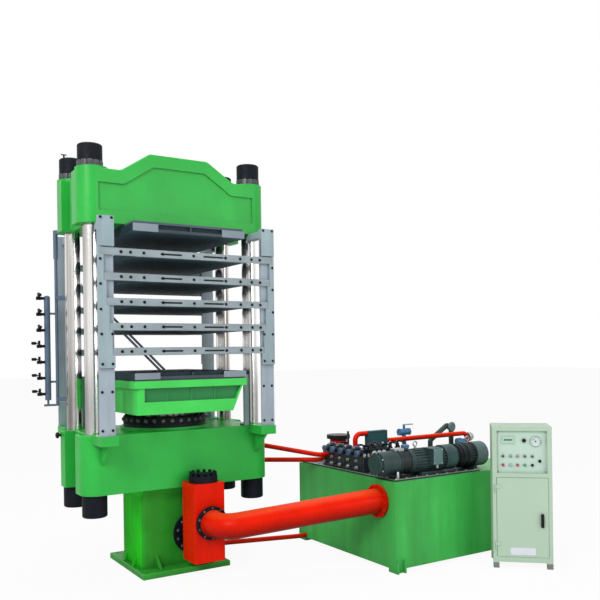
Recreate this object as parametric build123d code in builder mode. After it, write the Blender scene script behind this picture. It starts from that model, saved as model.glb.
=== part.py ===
# Four-column rubber vulcanizing press with its oil unit and control cabinet.
# Millimetres. X runs to the right along the front, Y to the back, Z up.
# The origin is on the floor, midway between the four columns.

import os
from math import cos, radians, sin, tan

from build123d import *

os.makedirs("parts", exist_ok=True)

# Clearances shared by all pieces
seat_gap = 0.3
slide_gap = 0.5
pin_gap = 0.05
cut_over = 5.0

# Base plate
base_width = 760.0
base_depth = 820.0
base_shift = -45.0
base_thickness = 45.0
base_chamfer = 6.0
anchor_radius = 14.0
anchor_inset = 50.0

# Columns and their nuts
column_span_x = 1400.0
column_span_y = 530.0
column_radius = 64.0
journal_radius = 58.0
column_end_inset = 8.0
column_end_chamfer = 6.0
nut_radius = 97.0
upper_nut_height = 132.0
lower_nut_height = 178.0
nut_chamfer = 8.0
flange_ring_radius = 101.0
flange_ring_height = 50.0
ring_notch_radius = 9.0
ring_notch_count = 12
vent_radius = 7.0
vent_height = 52.0
vent_bar_length = 46.0
vent_bar_radius = 5.0
vent_offset = 43.0

# Crossheads
boss_radius = 128.0
boss_inset = 12.0
pocket_depth = 88.0
pocket_margin = 26.0
lower_bottom = 690.0
lower_height = 467.0
upper_bottom = 2805.0
shoulder_height = 425.0
boss_rise = 15.0
crown_rise = 155.0
crown_half_width = 252.0
crown_half_foot = 490.0
crown_blend = 70.0
panel_depth = 14.0
panel_half_width = 675.0
panel_foot_rise = 95.0
panel_shoulder_drop = 110.0
panel_crown_drop = 105.0
panel_half_crown = 225.0
panel_half_slope = 470.0
panel_blend = 45.0
casting_round = 12.0
gland_seat_radius = 374.0
gland_seat_height = 20.0

# Cylinder, gland and ram
ram_radius = 240.0
ram_gap = 0.6
ram_float = 40.0
ram_chamfer = 10.0
barrel_gap = 3.0
barrel_wall = 36.0
barrel_bottom = 70.0
barrel_end = 60.0
barrel_flange = 20.0
gland_radius = 350.0
gland_height = 66.0
gland_bolt_radius = 13.0
gland_bolt_height = 16.0
gland_bolt_circle = 322.0
gland_bolt_count = 20
gland_chamfer = 6.0
pedestal_half_width = 332.0
pedestal_front = 300.0
pedestal_flare = 60.0
pedestal_flare_angle = 35.0
pedestal_corner = 34.0
pedestal_back_corner = 234.0
gusset_reach = 105.0
gusset_height = 120.0
gusset_thickness = 24.0
gusset_spread = 210.0
port_radius = 166.0
port_thickness = 34.0
port_bore = 88.0
port_height = 290.0

# Racks that carry the hanging platens
rack_face = 612.0
hook_thickness = 22.0
hook_foot = 515.0
hook_cap_gap = 9.0
hook_cover = 6.0
post_thickness = 16.0
post_inset = 12.0
post_width = 120.0
rack_foot_gap = 8.0
rack_rise = 16.0
ear_step = 20.0
ear_gap = 2.0
bracket_height = 72.0
bracket_gusset_drop = 190.0
bracket_plate = 22.0
bracket_overhang = 18.0
bracket_brace_inset = 40.0
arm_height = 55.0
arm_width = 70.0
arm_overlap = 45.0
stay_width = 30.0
stay_thickness = 10.0
stay_spacing = 48.0
stay_left_inset = 4.0
stay_right_inset = 93.0
stay_left_drop = 245.0
stay_right_rise = 16.0
stay_pad_height = 78.0
stay_pad_rise = 5.0
guide_width = 42.0
guide_thickness = 24.0
guide_height = 440.0
guide_inset = 108.0
guide_foot = 90.0
guide_foot_height = 14.0

# Hot platens
platen_count = 5
platen_side_gap = 220.0
platen_thickness = 60.0
platen_pitch_share = 0.1726
first_platen_share = 0.8442
platen_corner = 24.0
steam_bore_radius = 11.0
steam_bore_depth = 120.0
steam_bore_spacing = 160.0
bar_height = 56.0
bar_slot_length = 180.0
bar_slot_radius = 7.0
bar_slot_place = 182.0
bar_slot_shift = 10.0
fixed_thickness = 50.0
fixed_inset = 8.0
board_thickness = 12.0
upper_board_thickness = 19.0
board_inset = 10.0
edge_recess_depth = 26.0
edge_recess_half = 280.0
edge_rail_height = 22.0
edge_post = 12.0
upper_platen_thickness = 60.0

# Moving table
table_rest_gap = 153.0
table_body_height = 205.0
table_flange_height = 58.0
table_overhang = 4.0
table_inset_y = 10.0
table_left_inset = 24.0
table_right_inset = 34.0
table_right_taper = 90.0
table_round = 30.0
table_panel_left_inset = 60.0
table_panel_right_inset = 16.0
table_panel_depth = 26.0
table_band_height = 98.0
table_rib = 16.0
table_rib_rise = 8.0
table_rib_pitch = 205.0
table_rib_count = 3

# Steam manifold
riser_stand = 106.0
riser_back = 127.0
riser_radius = 13.0
riser_bottom = 1362.0
riser_rise = 37.0
riser_sleeve_radius = 19.0
riser_sleeve_length = 240.0
clamp_height = 34.0
clamp_width = 40.0
header_stand = 78.0
header_radius = 25.0
header_bottom = 1405.0
header_top = 2286.0
header_cap = 10.0
link_radius = 9.0
link_heights_share = (0.175, 0.83)
valve_count = 7
valve_pitch = 134.4
valve_top_drop = 22.0
valve_stub_radius = 12.0
valve_stub_length = 62.0
valve_body_radius = 15.0
valve_body_length = 38.0
valve_bonnet_radius = 9.0
valve_bonnet_height = 5.0
valve_stem_radius = 4.0
shut_valves = 3
lever_length = 64.0
lever_width = 20.0
lever_thickness = 9.0
lever_hub_radius = 10.0
lever_hub_height = 27.0
tee_length = 66.0

# Prefill valve and the large oil pipe
valve_block_width = 264.0
valve_block_depth = 240.0
valve_block_bottom = 115.0
valve_block_height = 628.0
valve_block_x = 104.0
valve_block_back = 420.0
valve_block_round = 8.0
valve_cap_radius = 116.0
valve_cap_height = 50.0
valve_cap_boss_radius = 68.0
valve_cap_boss_height = 18.0
valve_cap_bolts = 12
valve_cap_bolt_radius = 14.0
valve_cap_bolt_height = 34.0
valve_cap_bolt_circle = 97.0
front_port_shift = 12.0
neck_radius = 104.0
front_ring_radius = 132.0
front_ring_thickness = 26.0
pipe_radius = 101.0
pipe_wall = 8.0
pipe_start_z = 428.0
pipe_out = 196.0
pipe_start_bend = 170.0
pipe_end_y = -1236.0
pipe_end_z = 553.0
pipe_end_run = 120.0
pipe_end_bend = 380.0
tank_flange_radius = 136.0
tank_flange_thickness = 24.0
flange_bolt_radius = 9.0
flange_bolt_height = 10.0
flange_bolt_count = 12
flange_bolt_inset = 16.0

# Pressure and drain pipes
small_pipe_radius = 21.0
small_pipe_z = (955.0, 803.0)
small_pipe_y = (-100.0, -50.0)
small_pipe_tank_z = (850.0, 801.0)
small_pipe_tank_y = (-450.0, -405.0)
small_pipe_stub = 90.0
small_pipe_bend = 120.0
drain_z = 130.0
drain_y = -208.0
drain_end_z = 54.0
drain_end_y = -120.0

# Oil tank and its lid
tank_left = 1350.0
tank_right = 2950.0
tank_front = -1450.0
tank_back = -30.0
tank_bottom = 30.0
tank_top = 730.0
tank_wall = 8.0
tank_mouth_margin = 60.0
tank_mouth_right = 2250.0
tank_foot_width = 90.0
tank_foot_rib = 14.0
tank_foot_rib_height = 70.0
tank_foot_rib_reach = 26.0
lid_right = 2310.0
lid_inset = 18.0
lid_thickness = 15.0
lid_chamfer = 3.0

# Pump sets, each with its fan cover to the right
motor_axis_rise = 116.0
motor_radius = 100.0
motor_lengths = (340.0, 60.0)
motor_shield = 26.0
motor_shield_radius = 104.0
fan_cover_radius = 107.0
fan_cover_length = 120.0
motor_fin_depth = 9.0
motor_fin_gap = 14.0
motor_fin_count = 24
motor_foot_width = 190.0
motor_foot_share = 0.65
terminal_width = 104.0
terminal_depth = 40.0
terminal_height = 136.0
terminal_shift = 29.0
terminal_rise = 34.0
bell_lengths = (120.0, 70.0)
bell_step = 18.0
bell_small_radius = 96.0
pump_radius = 98.0
pump_nose_radius = 84.0
pump_nose_length = 25.0
pump_set_x = 1270.0
pump_set_y = -1295.0
pump_set_gap = 30.0
pump_lengths = (190.0, 30.0)

# Valve bank on the lid
bank_left = 1385.0
bank_width = 120.0
bank_front = -1000.0
bank_length = 620.0
bank_height = 130.0
bank_valve_count = 5
bank_valve_length = 84.0
bank_valve_width = 58.0
bank_valve_height = 62.0
solenoid_radius = 23.0
solenoid_length = 45.0
solenoid_nut = 12.0
solenoid_nut_length = 8.0
cartridge_rise = 42.0
cartridge_radius = 19.0
cartridge_length = 30.0
side_bank_length = 330.0
side_bank_depth = 100.0
side_bank_height = 120.0
side_valve_count = 4
side_valve_width = 54.0
side_valve_height = 70.0
side_cap_radius = 18.0
side_cap_height = 34.0
bank_stem_x = 1492.0
bank_stem_radius = 10.0
bank_stem_height = 190.0

# Filter, cooler, return pipe and stop valve
filter_x = 1642.0
filter_y = -262.0
filter_radius = 80.0
filter_height = 214.0
filter_cap_radius = 110.0
filter_cap_height = 36.0
cooler_left = 1608.0
cooler_width = 214.0
cooler_front = -778.0
cooler_depth = 56.0
cooler_height = 322.0
cooler_rim = 12.0
cooler_recess = 6.0
return_radius = 22.0
return_z = 968.0
return_y = -750.0
return_elbow_z = 1048.0
return_bend = 55.0
return_left = 1481.0
return_right = 2836.0
stop_x = 2166.0
stop_y = -600.0
stop_riser_radius = 20.0
stop_riser_height = 252.0
stop_body_radius = 30.0
stop_body_length = 128.0
stop_collar_radius = 36.0
stop_collar_length = 22.0
stop_neck_radius = 12.0
stop_neck_height = 32.0
stop_stem_radius = 5.0
stop_lever_length = 108.0
stop_lever_width = 24.0
stop_lever_thickness = 11.0
gooseneck_radius = 24.0
gooseneck_left = 2450.0
gooseneck_crest = 2675.0
gooseneck_right = 2722.0
gooseneck_y = -650.0
gooseneck_left_z = 915.0
gooseneck_crest_z = 1052.0
gooseneck_right_z = 1000.0
gooseneck_bend = 30.0

# Control cabinet, turned to face the operator
cabinet_turn = -43.4
cabinet_x = 2121.0
cabinet_y = -1760.0
cabinet_width = 467.0
cabinet_depth = 340.0
cabinet_height = 1100.0
cabinet_leg = 50.0
cabinet_leg_size = 46.0
cabinet_wall = 3.0
cabinet_rim = 37.0
panel_bottom = 773.0
panel_top = 1116.0
panel_recess = 24.0
panel_plate = 4.0
door_bottom = 92.0
door_top = 738.0
door_side = 30.0
door_thickness = 20.0
door_skin = 3.0
door_play = 2.0
door_stand = 3.0
hinge_radius = 6.0
hinge_pin_radius = 3.0
hinge_stand = 6.5
hinge_inset_x = 24.0
hinge_foot = 8.0
hinge_leaf = 36.0
hinge_leaf_thickness = 4.0
hinge_length = 60.0
hinge_inset = 90.0
handle_height = 110.0
handle_width = 24.0
handle_thickness = 9.0
handle_place_x = 386.0
handle_place_z = 394.0
handle_hub_radius = 9.0
handle_hub_length = 9.0
handle_round = 6.0
handle_shaft_radius = 5.0
handle_shaft_length = 12.0
button_x = (86.0, 145.0, 200.0, 257.0, 316.0)
lamp_row_z = 909.0
button_row_z = 837.0
button_radius = 10.0
button_length = 16.0
button_crown_height = 2.0
button_taper = 40.0
button_collar_radius = 13.0
button_collar_height = 5.0
lamp_radius = 10.0
lamp_height = 9.0
selector_x = 374.0
selector_z = 870.0
selector_radius = 12.0
selector_height = 8.0
selector_shaft_radius = 5.0
selector_shaft_length = 12.0
selector_grip = 6.0
selector_grip_rise = 10.0
display_x = 128.0
display_z = 1041.0
display_width = 106.0
display_height = 64.0
display_depth = 6.0
display_rim = 5.0
dial_x = 252.0
dial_z = 1037.0
dial_radius = 20.0
meter_x = 343.0
meter_z = 1029.0
meter_radius = 43.0
gauge_height = 8.0
glass_depth = 2.0
gauge_rim = 4.0

# Places that follow from the sizes above
column_x = column_span_x / 2
column_y = column_span_y / 2
lower_top = lower_bottom + lower_height
shoulder_top = upper_bottom + shoulder_height
boss_top = shoulder_top + boss_rise
crown_top = shoulder_top + crown_rise
upper_nut_bottom = boss_top + flange_ring_height
lower_nut_bottom = lower_bottom - lower_nut_height
boss_x = column_x - boss_inset
casting_half_x = boss_x + boss_radius
casting_half_y = column_y + boss_radius
pocket_width = column_span_y - 2 * boss_radius + pocket_margin
barrel_inner = ram_radius + barrel_gap
barrel_outer = barrel_inner + barrel_wall
gland_seat_top = lower_top + gland_seat_height
gland_bottom = gland_seat_top + barrel_flange
rack_bottom = lower_top + rack_foot_gap
rack_top = upper_bottom + rack_rise
hook_bottom = rack_bottom + hook_foot
post_outer = column_x + column_radius - post_inset
post_inner = post_outer - post_width
bracket_foot = rack_bottom - bracket_height - bracket_gusset_drop
hook_back = rack_face - hook_thickness
lid_top = tank_top + lid_thickness
table_bottom = lower_top + table_rest_gap
table_flange_bottom = table_bottom + table_body_height
lower_platen_bottom = table_flange_bottom + table_flange_height + board_thickness
lower_platen_top = lower_platen_bottom + fixed_thickness
upper_platen_top = upper_bottom - upper_board_thickness
upper_platen_bottom = upper_platen_top - upper_platen_thickness
platen_half_x = column_x - platen_side_gap
platen_half_y = hook_back + slide_gap
fixed_half_y = rack_face - fixed_inset
table_half_x = platen_half_x + table_overhang
table_half_y = rack_face - table_inset_y
table_body_half_y = table_half_y - table_inset_y
daylight = upper_platen_bottom - lower_platen_top
platen_level = [
    lower_platen_top + daylight * (first_platen_share - platen_pitch_share * n) for n in range(platen_count)
]
ear_reach = [post_inner + ear_step * (platen_count - n) - ear_gap for n in range(platen_count)]
riser_x = -column_x - riser_stand
riser_y = column_y + riser_back
riser_top = upper_bottom + riser_rise
header_x = riser_x - header_stand


def at_columns():
    return GridLocations(column_span_x, column_span_y, 2, 2)


def at_bosses():
    return GridLocations(2 * boss_x, column_span_y, 2, 2)


# Base plate with its anchor holes
with BuildPart() as base_plate:
    with BuildSketch() as base_outline:
        with Locations((0, base_shift)):
            Rectangle(base_width, base_depth)
            with GridLocations(base_width - 2 * anchor_inset, base_depth - 2 * anchor_inset, 2, 2):
                Circle(anchor_radius, mode=Mode.SUBTRACT)
    extrude(amount=base_thickness)
    chamfer(base_plate.faces().sort_by(Axis.Z)[-1].outer_wire().edges(), base_chamfer)
base_plate.part.label = "base_plate"
export_step(base_plate.part, "parts/base_plate.step")

# Pedestal: a flat front for the oil port, a rounded back, and a flare under the crosshead
with BuildPart() as cylinder_pedestal:
    with BuildSketch(Plane.XY.offset(base_thickness)) as pedestal_plan:
        with Locations((0, -pedestal_front)):
            Rectangle(
                2 * pedestal_half_width,
                pedestal_front + pedestal_half_width,
                align=(Align.CENTER, Align.MIN),
            )
        plan_corners = pedestal_plan.vertices().group_by(Axis.Y)
        fillet(plan_corners[-1], pedestal_back_corner)
        fillet(pedestal_plan.vertices().group_by(Axis.Y)[0], pedestal_corner)
    extrude(amount=lower_bottom - base_thickness)
    pedestal_top = cylinder_pedestal.faces().sort_by(Axis.Z)[-1]
    flare_reach = pedestal_flare * tan(radians(pedestal_flare_angle))
    flare_face = offset(pedestal_top, amount=flare_reach, mode=Mode.PRIVATE)
    extrude(flare_face, amount=-pedestal_flare, taper=pedestal_flare_angle)
    for side in (-1, 1):
        for spread in (-1, 1):
            with BuildSketch(Plane.XZ.offset(gusset_spread / 2 * spread + gusset_spread / 4)):
                with BuildLine():
                    Polyline(
                        (side * (pedestal_half_width - gusset_thickness), base_thickness),
                        (side * (pedestal_half_width + gusset_reach / 3), base_thickness),
                        (side * (pedestal_half_width - gusset_thickness), base_thickness + gusset_height),
                        close=True,
                    )
                make_face()
            extrude(amount=gusset_thickness / 2, both=True)
        with BuildSketch(Plane.YZ.offset(side * gusset_spread)):
            with BuildLine():
                Polyline(
                    (gusset_thickness - pedestal_front, base_thickness),
                    (-pedestal_front - gusset_reach, base_thickness),
                    (gusset_thickness - pedestal_front, base_thickness + gusset_height),
                    close=True,
                )
            make_face()
        extrude(amount=gusset_thickness / 2, both=True)
    with BuildSketch(Plane.XY.offset(base_thickness)):
        Circle(barrel_outer + seat_gap)
    extrude(amount=lower_bottom, mode=Mode.SUBTRACT)
    with BuildSketch(Plane.XZ.offset(pedestal_front)):
        with Locations((valve_block_x, port_height)):
            Circle(port_bore)
    extrude(amount=-pedestal_front, mode=Mode.SUBTRACT)
cylinder_pedestal.part.label = "cylinder_pedestal"
export_step(cylinder_pedestal.part, "parts/cylinder_pedestal.step")

# Hydraulic cylinder: a closed barrel with a flange that hangs on the crosshead
with BuildPart() as main_cylinder:
    with BuildSketch(Plane.XZ):
        with BuildLine():
            Polyline(
                (0, barrel_bottom),
                (barrel_outer, barrel_bottom),
                (barrel_outer, gland_seat_top),
                (gland_radius, gland_seat_top),
                (gland_radius, gland_bottom),
                (barrel_inner, gland_bottom),
                (barrel_inner, barrel_bottom + barrel_end),
                (0, barrel_bottom + barrel_end),
                close=True,
            )
        make_face()
    revolve(axis=Axis.Z)
    with BuildSketch(Plane.XZ.offset(pedestal_front)):
        with Locations((valve_block_x, port_height)):
            Circle(port_bore - slide_gap)
    extrude(amount=-pedestal_front, mode=Mode.SUBTRACT)
main_cylinder.part.label = "main_cylinder"
export_step(main_cylinder.part, "parts/main_cylinder.step")

# Gland ring with its ring of bolts
with BuildPart() as gland_ring:
    with BuildSketch(Plane.XY.offset(gland_bottom)):
        Circle(gland_radius)
        Circle(ram_radius + ram_gap, mode=Mode.SUBTRACT)
    extrude(amount=gland_height)
    chamfer(gland_ring.faces().sort_by(Axis.Z)[-1].outer_wire().edges(), gland_chamfer)
    with BuildSketch(Plane.XY.offset(gland_bottom + gland_height)):
        with PolarLocations(gland_bolt_circle, gland_bolt_count):
            RegularPolygon(gland_bolt_radius, 6)
    extrude(amount=gland_bolt_height)
gland_ring.part.label = "gland_ring"
export_step(gland_ring.part, "parts/gland_ring.step")

# Lower crosshead with the rack brackets on its front and back
with BuildPart() as lower_crosshead:
    with BuildSketch(Plane.XY.offset(lower_bottom)):
        with at_bosses():
            Circle(boss_radius)
        make_hull()
        with GridLocations(2 * casting_half_x, boss_radius, 2, 1):
            Rectangle(2 * pocket_depth, pocket_width, mode=Mode.SUBTRACT)
    extrude(amount=lower_height)
    fillet(lower_crosshead.faces().sort_by(Axis.Z)[-1].outer_wire().edges(), casting_round)
    with BuildSketch(Plane.XY.offset(lower_top)):
        Circle(gland_seat_radius)
    extrude(amount=gland_seat_height)
    bracket_x = (post_inner + post_outer - bracket_overhang) / 2
    bracket_y = (rack_face + casting_half_y - bracket_plate) / 2
    with BuildSketch(Plane.XY.offset(rack_bottom)):
        with GridLocations(2 * bracket_x, 2 * bracket_y, 2, 2):
            Rectangle(post_width + bracket_overhang, rack_face - casting_half_y + bracket_plate)
    extrude(amount=-bracket_height)
    for side in (-1, 1):
        for face in (-1, 1):
            with BuildSketch(Plane.YZ.offset(side * (post_inner + bracket_brace_inset))):
                with BuildLine():
                    Polyline(
                        (face * (casting_half_y - bracket_plate), rack_bottom - bracket_height),
                        (face * (rack_face - bracket_plate), rack_bottom - bracket_height),
                        (face * (casting_half_y - bracket_plate), bracket_foot),
                        close=True,
                    )
                make_face()
            extrude(amount=bracket_plate / 2, both=True)
    with BuildSketch(Plane.XY.offset(lower_bottom)):
        Circle(barrel_outer + seat_gap)
        with at_columns():
            Circle(journal_radius + seat_gap)
    extrude(amount=lower_height + gland_seat_height + cut_over, mode=Mode.SUBTRACT)
lower_crosshead.part.label = "lower_crosshead"
export_step(lower_crosshead.part, "parts/lower_crosshead.step")

# Upper crosshead: crowned beam, four bosses and a recessed panel on both faces
with BuildPart() as upper_crosshead:
    with BuildSketch(Plane.XY.offset(upper_bottom)):
        with at_bosses():
            Circle(boss_radius)
        make_hull()
        with GridLocations(2 * casting_half_x, boss_radius, 2, 1):
            Rectangle(2 * pocket_depth, pocket_width, mode=Mode.SUBTRACT)
    extrude(amount=crown_top - upper_bottom)
    with BuildSketch(Plane.XZ) as crown_outline:
        with BuildLine():
            Polyline(
                (-casting_half_x, upper_bottom),
                (casting_half_x, upper_bottom),
                (casting_half_x, shoulder_top),
                (crown_half_foot, shoulder_top),
                (crown_half_width, crown_top),
                (-crown_half_width, crown_top),
                (-crown_half_foot, shoulder_top),
                (-casting_half_x, shoulder_top),
                close=True,
            )
        make_face()
        crown_corners = crown_outline.vertices().filter_by_position(
            Axis.X, -crown_half_foot, crown_half_foot
        )
        fillet(crown_corners, crown_blend)
    extrude(amount=casting_half_y, both=True, mode=Mode.INTERSECT)
    fillet(upper_crosshead.edges().filter_by_position(Axis.Z, shoulder_top, crown_top), casting_round)
    with BuildSketch(Plane.XY.offset(upper_bottom + casting_round)):
        with at_bosses():
            Circle(boss_radius)
    extrude(amount=boss_top - upper_bottom - casting_round)
    with BuildSketch(Plane.XZ.offset(casting_half_y)) as panel_outline:
        with BuildLine():
            Polyline(
                (-panel_half_width, upper_bottom + panel_foot_rise),
                (panel_half_width, upper_bottom + panel_foot_rise),
                (panel_half_width, shoulder_top - panel_shoulder_drop),
                (panel_half_slope, shoulder_top - panel_shoulder_drop),
                (panel_half_crown, crown_top - panel_crown_drop),
                (-panel_half_crown, crown_top - panel_crown_drop),
                (-panel_half_slope, shoulder_top - panel_shoulder_drop),
                (-panel_half_width, shoulder_top - panel_shoulder_drop),
                close=True,
            )
        make_face()
        panel_corners = panel_outline.vertices().filter_by_position(
            Axis.X, -panel_half_slope, panel_half_slope
        )
        fillet(panel_corners, panel_blend)
    panel_cut = extrude(amount=-panel_depth, mode=Mode.SUBTRACT)
    mirror(panel_cut, about=Plane.XZ, mode=Mode.SUBTRACT)
    with BuildSketch(Plane.XY.offset(upper_bottom)):
        with at_columns():
            Circle(journal_radius + seat_gap)
    extrude(amount=boss_top, mode=Mode.SUBTRACT)
upper_crosshead.part.label = "upper_crosshead"
export_step(upper_crosshead.part, "parts/upper_crosshead.step")

# Four columns, each shouldered between the crossheads
with BuildPart() as columns:
    with BuildSketch(Plane.XY.offset(lower_nut_bottom + column_end_inset)):
        with at_columns():
            Circle(journal_radius)
    extrude(amount=upper_nut_bottom + upper_nut_height - lower_nut_bottom - 2 * column_end_inset)
    chamfer(columns.edges().filter_by(GeomType.CIRCLE), column_end_chamfer)
    with BuildSketch(Plane.XY.offset(lower_top)):
        with at_columns():
            Circle(column_radius)
    extrude(amount=upper_bottom - lower_top)
columns.part.label = "columns"
export_step(columns.part, "parts/columns.step")

# Column nuts above and below, with the vent stem on the rear left one
with BuildPart() as column_nuts:
    nut_places = ((upper_nut_bottom, upper_nut_height), (lower_nut_bottom, lower_nut_height))
    for nut_bottom, nut_height in nut_places:
        with BuildSketch(Plane.XY.offset(nut_bottom)):
            with at_columns():
                Circle(nut_radius)
                Circle(journal_radius + seat_gap, mode=Mode.SUBTRACT)
        extrude(amount=nut_height)
    rims = column_nuts.faces().filter_by(Axis.Z).group_by(Axis.Z)
    chamfer([face.outer_wire().edges()[0] for face in rims[0] + rims[-1]], nut_chamfer)
    upper_nut_top = upper_nut_bottom + upper_nut_height
    with BuildSketch(Plane.XY.offset(upper_nut_top)):
        with Locations((-column_x - vent_offset, column_y + journal_radius)):
            Circle(vent_radius)
    extrude(amount=vent_height)
    with BuildSketch(Plane.YZ.offset(-column_x - vent_offset - vent_bar_length / 2)):
        with Locations((column_y + journal_radius, upper_nut_top + vent_height)):
            Circle(vent_bar_radius)
    extrude(amount=vent_bar_length)
column_nuts.part.label = "column_nuts"
export_step(column_nuts.part, "parts/column_nuts.step")

# Notched rings under the upper nuts
with BuildPart() as nut_flange_rings:
    with BuildSketch(Plane.XY.offset(boss_top)):
        with at_columns():
            Circle(flange_ring_radius)
            Circle(journal_radius + seat_gap, mode=Mode.SUBTRACT)
            with PolarLocations(flange_ring_radius, ring_notch_count):
                Circle(ring_notch_radius, mode=Mode.SUBTRACT)
    extrude(amount=flange_ring_height)
nut_flange_rings.part.label = "nut_flange_rings"
export_step(nut_flange_rings.part, "parts/nut_flange_rings.step")

# Rack posts, the arms that tie them to the upper crosshead, and the two stays behind
arm_reach = hook_back - post_thickness - casting_half_y + arm_overlap
with BuildPart() as rack_posts:
    with BuildSketch(Plane.XZ.offset(hook_back)):
        with Locations((post_inner, rack_bottom)):
            Rectangle(post_width, rack_top - rack_bottom, align=(Align.MIN, Align.MIN))
    extrude(amount=-post_thickness)
    with BuildSketch(Plane.XY.offset(upper_bottom)):
        with Locations((post_inner + arm_width / 2, post_thickness - hook_back)):
            Rectangle(arm_width, arm_reach, align=(Align.CENTER, Align.MIN))
    extrude(amount=-arm_height)
    mirror(about=Plane.YZ)
    mirror(about=Plane.XZ)
    stay_left = post_outer - stay_left_inset
    stay_right = post_outer - stay_right_inset
    stay_left_z = rack_top - stay_left_drop
    stay_right_z = rack_bottom + stay_right_rise
    stay_slope = (stay_left_z - stay_right_z) / (stay_left + stay_right)
    for shift in (0, stay_spacing * stay_slope):
        with BuildSketch(Plane.XZ.offset(-rack_face)):
            with BuildLine():
                Polyline(
                    (-stay_left, stay_left_z + shift - stay_width / 2),
                    (-stay_left, stay_left_z + shift + stay_width / 2),
                    (stay_right, stay_right_z + shift + stay_width / 2),
                    (stay_right, stay_right_z + shift - stay_width / 2),
                    close=True,
                )
            make_face()
        extrude(amount=-stay_thickness)
    with BuildSketch(Plane.XZ.offset(-rack_face)):
        with Locations((post_inner, rack_bottom + stay_pad_rise)):
            Rectangle(stay_right - post_inner, stay_pad_height, align=(Align.MIN, Align.MIN))
    extrude(amount=hook_thickness)
rack_posts.part.label = "rack_posts"
export_step(rack_posts.part, "parts/rack_posts.step")

# Stepped hook plates: each step holds one platen's ears, and a cover hides the top of the front ones
with BuildPart() as hook_plates:
    cap_bottom = upper_platen_bottom + hook_cap_gap
    step_points = [(post_outer, hook_bottom), (post_outer, rack_top), (post_inner, rack_top)]
    step_points.append((post_inner, cap_bottom))
    step_points.append((ear_reach[0] + ear_gap, cap_bottom))
    for n in range(platen_count):
        ear_bottom = platen_level[n] - bar_height / 2
        step_points.append((ear_reach[n] + ear_gap, ear_bottom))
        step_points.append((ear_reach[n] + ear_gap - ear_step, ear_bottom))
    step_points.append((post_inner, hook_bottom))
    with BuildSketch(Plane.XZ.offset(hook_back)):
        with BuildLine():
            Polyline(*step_points, close=True)
        make_face()
    extrude(amount=hook_thickness)
    mirror(about=Plane.YZ)
    mirror(about=Plane.XZ)
    cover_height = rack_top - platen_level[0] - bar_height / 2 - hook_cap_gap
    with BuildSketch(Plane.XZ.offset(rack_face)):
        with Locations((0, rack_top - cover_height / 2)):
            with GridLocations(post_inner + post_outer, cover_height, 2, 1):
                Rectangle(post_width, cover_height)
    extrude(amount=hook_cover)
hook_plates.part.label = "hook_plates"
export_step(hook_plates.part, "parts/hook_plates.step")

# Upright guides beside the moving table
with BuildPart() as table_guides:
    with BuildSketch(Plane.XY.offset(lower_top)):
        with Locations((column_x - guide_inset, casting_half_y - guide_foot / 2)):
            Rectangle(guide_width, guide_foot)
    extrude(amount=guide_foot_height)
    with BuildSketch(Plane.XY.offset(lower_top)):
        with Locations((column_x - guide_inset, casting_half_y - guide_thickness / 2)):
            Rectangle(guide_width, guide_thickness)
    extrude(amount=guide_height)
    mirror(about=Plane.YZ)
    mirror(about=Plane.XZ)
table_guides.part.label = "table_guides"
export_step(table_guides.part, "parts/table_guides.step")

# Insulation boards and the two fixed hot platens, with railed recesses front and back
board_bottoms = {"upper": upper_platen_top, "lower": table_flange_bottom + table_flange_height}
board_heights = {"upper": upper_board_thickness, "lower": board_thickness}
platen_bottoms = {"upper": upper_platen_bottom, "lower": lower_platen_bottom}
platen_heights = {"upper": upper_platen_thickness, "lower": fixed_thickness}
for place in ("upper", "lower"):
    with BuildPart() as insulation_board:
        with BuildSketch(Plane.XY.offset(board_bottoms[place])):
            Rectangle(2 * (platen_half_x - board_inset), 2 * (fixed_half_y - board_inset))
        extrude(amount=board_heights[place])
    insulation_board.part.label = f"{place}_insulation_board"
    export_step(insulation_board.part, f"parts/{place}_insulation_board.step")

    with BuildPart() as fixed_platen:
        with BuildSketch(Plane.XY.offset(platen_bottoms[place])):
            Rectangle(2 * platen_half_x, 2 * fixed_half_y)
        extrude(amount=platen_heights[place])
        with BuildSketch(Plane.XY.offset(platen_bottoms[place] + edge_rail_height)):
            with GridLocations(edge_recess_half, 2 * fixed_half_y, 2, 2):
                Rectangle(edge_recess_half - edge_post, 2 * edge_recess_depth)
        extrude(amount=platen_heights[place], mode=Mode.SUBTRACT)
        with BuildSketch(Plane.YZ.offset(-platen_half_x)):
            with Locations((0, platen_bottoms[place] + platen_heights[place] / 2)):
                with GridLocations(steam_bore_spacing, steam_bore_spacing, 2, 1):
                    Circle(steam_bore_radius)
        extrude(amount=steam_bore_depth, mode=Mode.SUBTRACT)
    fixed_platen.part.label = f"{place}_hot_platen"
    export_step(fixed_platen.part, f"parts/{place}_hot_platen.step")

# Ram
with BuildPart() as ram:
    with BuildSketch(Plane.XY.offset(barrel_bottom + barrel_end + ram_float)):
        Circle(ram_radius)
    extrude(amount=table_bottom - barrel_bottom - barrel_end - ram_float)
    chamfer(ram.edges().sort_by(Axis.Z)[0], ram_chamfer)
ram.part.label = "ram"
export_step(ram.part, "parts/ram.step")

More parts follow.
